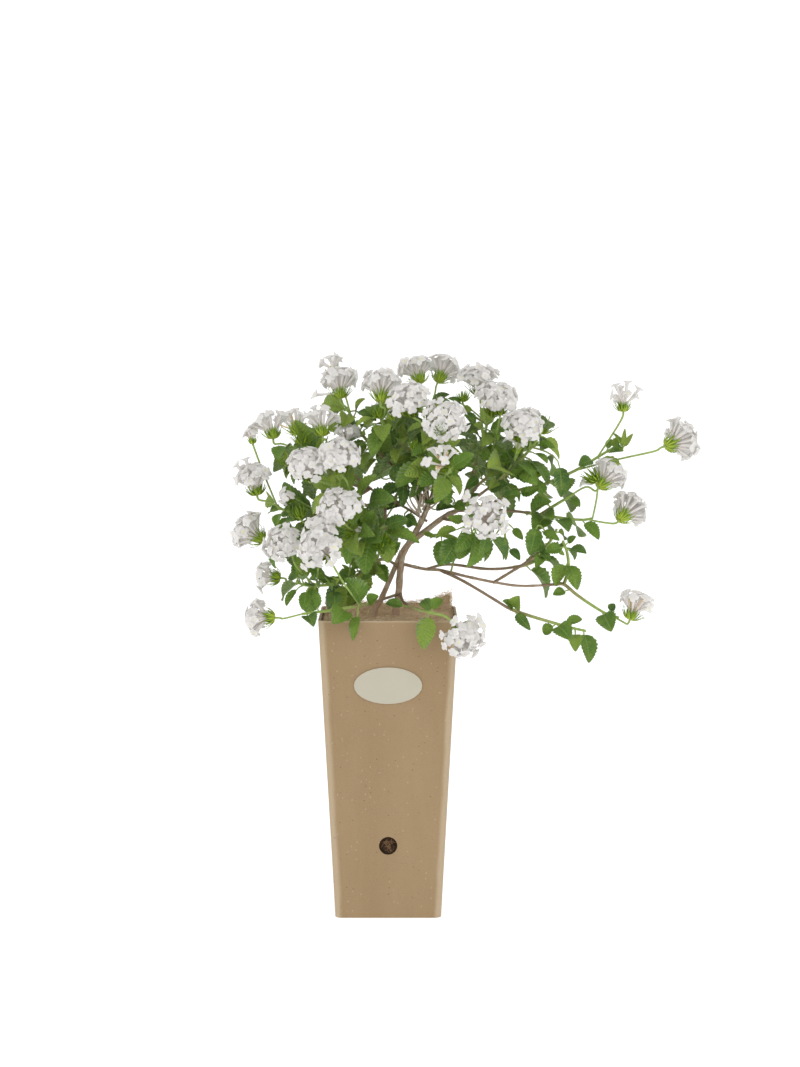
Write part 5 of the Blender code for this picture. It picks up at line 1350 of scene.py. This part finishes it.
# Painted light: the petals glow faintly with a warm emission, standing in for light that shines through
# them.
petal = Finish("petal", 0.55, 0.3, Subsurface_Weight=0.5, Subsurface_Scale=0.005,
               Subsurface_Radius=(1, 1, 1), Emission_Color=(1, 0.97, 0.92, 1), Emission_Strength=0.08)
tube_part, throat, tone = petal.painted_on("paint").parts()
white = (tone.ramp(0.3, 1.0) * 0.5).painted(PETAL_WHITE, PETAL_SHADE)
white = (petal.place().noise(600, 2).ramp(0.5, 0.75) * 0.3).painted(white, PETAL_SHADE)
white = tube_part.ramp(0.25, 1.0).painted(white, TUBE_PINK)
petal.set("Base Color", throat.ramp(0.35, 1.0).painted(white, THROAT_YELLOW))
petal.bump(petal.place().noise(1300, 2), 0.00025)

dried = Finish("dried_tube", 0.8, 0.25)
dry = dried.place().noise(420, 3)
dried.set("Base Color", dry.ramp(0.3, 0.7).painted(DRIED_BROWN, DRIED_TAN))
dried.bump(dry, 0.0004)

# Single florets that stand out of a head: the head, the middle of the limb and the way it looks.
STRAYS = [
    ("head_top_left_b", (-49.3, 347.3, 0), (-0.7, -0.3, 0.4)),
    ("head_left_out", (-95.6, 304.3, -16), (-0.3, 0.1, 1)),
    ("head_left_out", (-102.3, 300.2, -14), (-0.7, -0.1, 0.6)),
    ("head_rim_front", (59.6, 181.3, -70), (0.5, -0.7, -0.4)),
    ("head_rim_front", (44.8, 173.2, -72), (0.0, -0.8, -0.6)),
    ("head_rim_front", (61.6, 196.1, -68), (0.8, -0.6, 0.2)),
    ("head_right_upper", (129.5, 288.1, -4), (-0.8, -0.3, 0.4)),
    ("head_top_left_a", (-33.1, 372.1, 12), (0.3, 0.1, 1)),
    ("head_right_tall", (151.7, 354.0, 16), (-0.3, 0.0, 1)),
    ("head_right_tall", (159.7, 356.0, 18), (0.05, 0.0, 1)),
    ("head_right_tall", (167.8, 351.3, 20), (0.4, 0.1, 0.9)),
    ("head_front_right", (52.2, 278.7, -66), (-0.5, -0.7, 0.5)),
    ("head_front_right", (79.1, 275.4, -60), (0.5, -0.5, 0.7)),
    ("head_centre_c", (38.8, 311.7, -62), (0.1, -0.4, 0.9)),
    ("head_left_top", (-91.6, 327.1, 6), (-0.6, 0.0, 0.8))
]

# Small late heads and closed ones, on stalks of their own: the end of the stalk, its direction and
# radius, and for a head its florets and how many have dropped.
LATE_HEADS = [
    ((86.5, 309.6, -20), (0.1, -0.3, 1), 10.5, 12, 0), ((-90.9, 315.7, 6), (-0.25, 0.1, 1), 7, 5, 2),
    ((-22.4, 249.2, -40), (0.3, -0.5, 0.8), 7, 6, 0),
    ((-64.7, 277.4, -20), (-0.7, -0.5, 0.2), 7, 4, 4), ((-29.1, 313.0, 0), (0.2, 0.1, 1), 11, 12, 0),
    ((-44.6, 254.5, -64), (0.1, -0.7, 0.6), 11, 16, 0),
    ((75.1, 335.2, -24), (0.1, -0.4, 0.9), 11, 14, 0)
]
CLOSED_HEADS = [
    ((-58.0, 315.7, -6), (-0.1, 0.1, 1), 5.0), ((-59.3, 266.0, -30), (-0.3, -0.3, 1), 4.5),
    ((99.3, 293.5, -10), (0.3, -0.3, 1), 3.6), ((17.3, 311.7, -30), (0.2, -0.3, 1), 3.2),
    ((137.8, 290.5, -6), (-0.6, -0.5, 0.5), 5.0), ((23.0, 341.0, -20), (0.1, -0.3, 1), 3.0),
    ((98.6, 324.4, -14), (0.5, -0.2, 0.9), 4.2), ((-3.6, 245.8, -46), (0.1, -0.8, 0.5), 5.2),
    ((34.6, 322.5, -67), (0.1, -0.9, 0.3), 3.3), ((50.2, 344.0, -2), (0.0, -0.3, 1), 3.6)
]

# Whorls of bracts of a closed head, in its radii, and of a small open one, whose widths are in
# millimetres: reach, rise, width and number.
CLOSED = [(1.3, 0.7, 0.45, 11), (1.1, 1.4, 0.45, 10), (0.6, 1.8, 0.4, 7)]
OPEN = [(0.5, 0.32, 2.2, 7), (0.34, 0.5, 2.0, 6)]

rng = np.random.default_rng(41)
heads, cups = {}, {}
for spray in SPRAYS:
    for name, stalk, facing, radius in spray.stalks:
        batch = heads.setdefault(name, Batch())
        cups.setdefault(name, (stalk[-1], facing))
        flower_head(batch, stalk[-1], facing, radius, LOOK.get(name, FULL), rng)
for name, limb, facing in STRAYS:
    at, upward = cups[name]
    end, facing = seen(*limb), unit(facing)
    middle = at + upward * 2 + (end - facing * np.linalg.norm(end - at) * 0.3 - at) * 0.5
    rings = floret_rings((at + upward)[None], middle[None], end[None], facing[None], np.array([LIMB]), rng)
    heads[name].add(rings, 0, floret_paint(np.array([0.8]), np.zeros(1)))
for name, batch in heads.items():
    florets = batch.piece("florets" + name[4:].lstrip("s"), petal, dried)
    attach(florets, "root")
    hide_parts(name)

late, late_cups = Batch(), Batch()
every = np.vstack(grown)
for at, facing, radius, *look in LATE_HEADS + CLOSED_HEADS:
    at, facing = seen(*at), unit(facing)
    foot = nearest(every, at - facing * radius * 3.5)
    path = smooth([foot, foot + (at - facing * 6 - foot) * 0.6 + (0, 0, -0.5), at - facing * 4, at], 5)
    late_cups.add_stalks(path[None], 0.6, 0.7, 6, 0.2, 1)
    whorls = [(radius * reach, radius * rise, radius * wide, bracts)
              for reach, rise, wide, bracts in CLOSED]
    if look:
        count, dropped = look
        look = (count * (USUAL_RADIUS / radius) ** 2, 1.0, 0.2, dropped)
        flower_head(late, at, facing, radius, look, rng)
        whorls = [(radius * reach, radius * rise, wide, bracts) for reach, rise, wide, bracts in OPEN]
    add_cup(late_cups, at, facing, whorls, -1.8, 0.4, 0, rng)
late_florets = late.piece("late_florets", petal, dried)
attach(late_florets, "root")
late_green = late_cups.piece("late_cups", cup, shoot)
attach(late_green, "root")
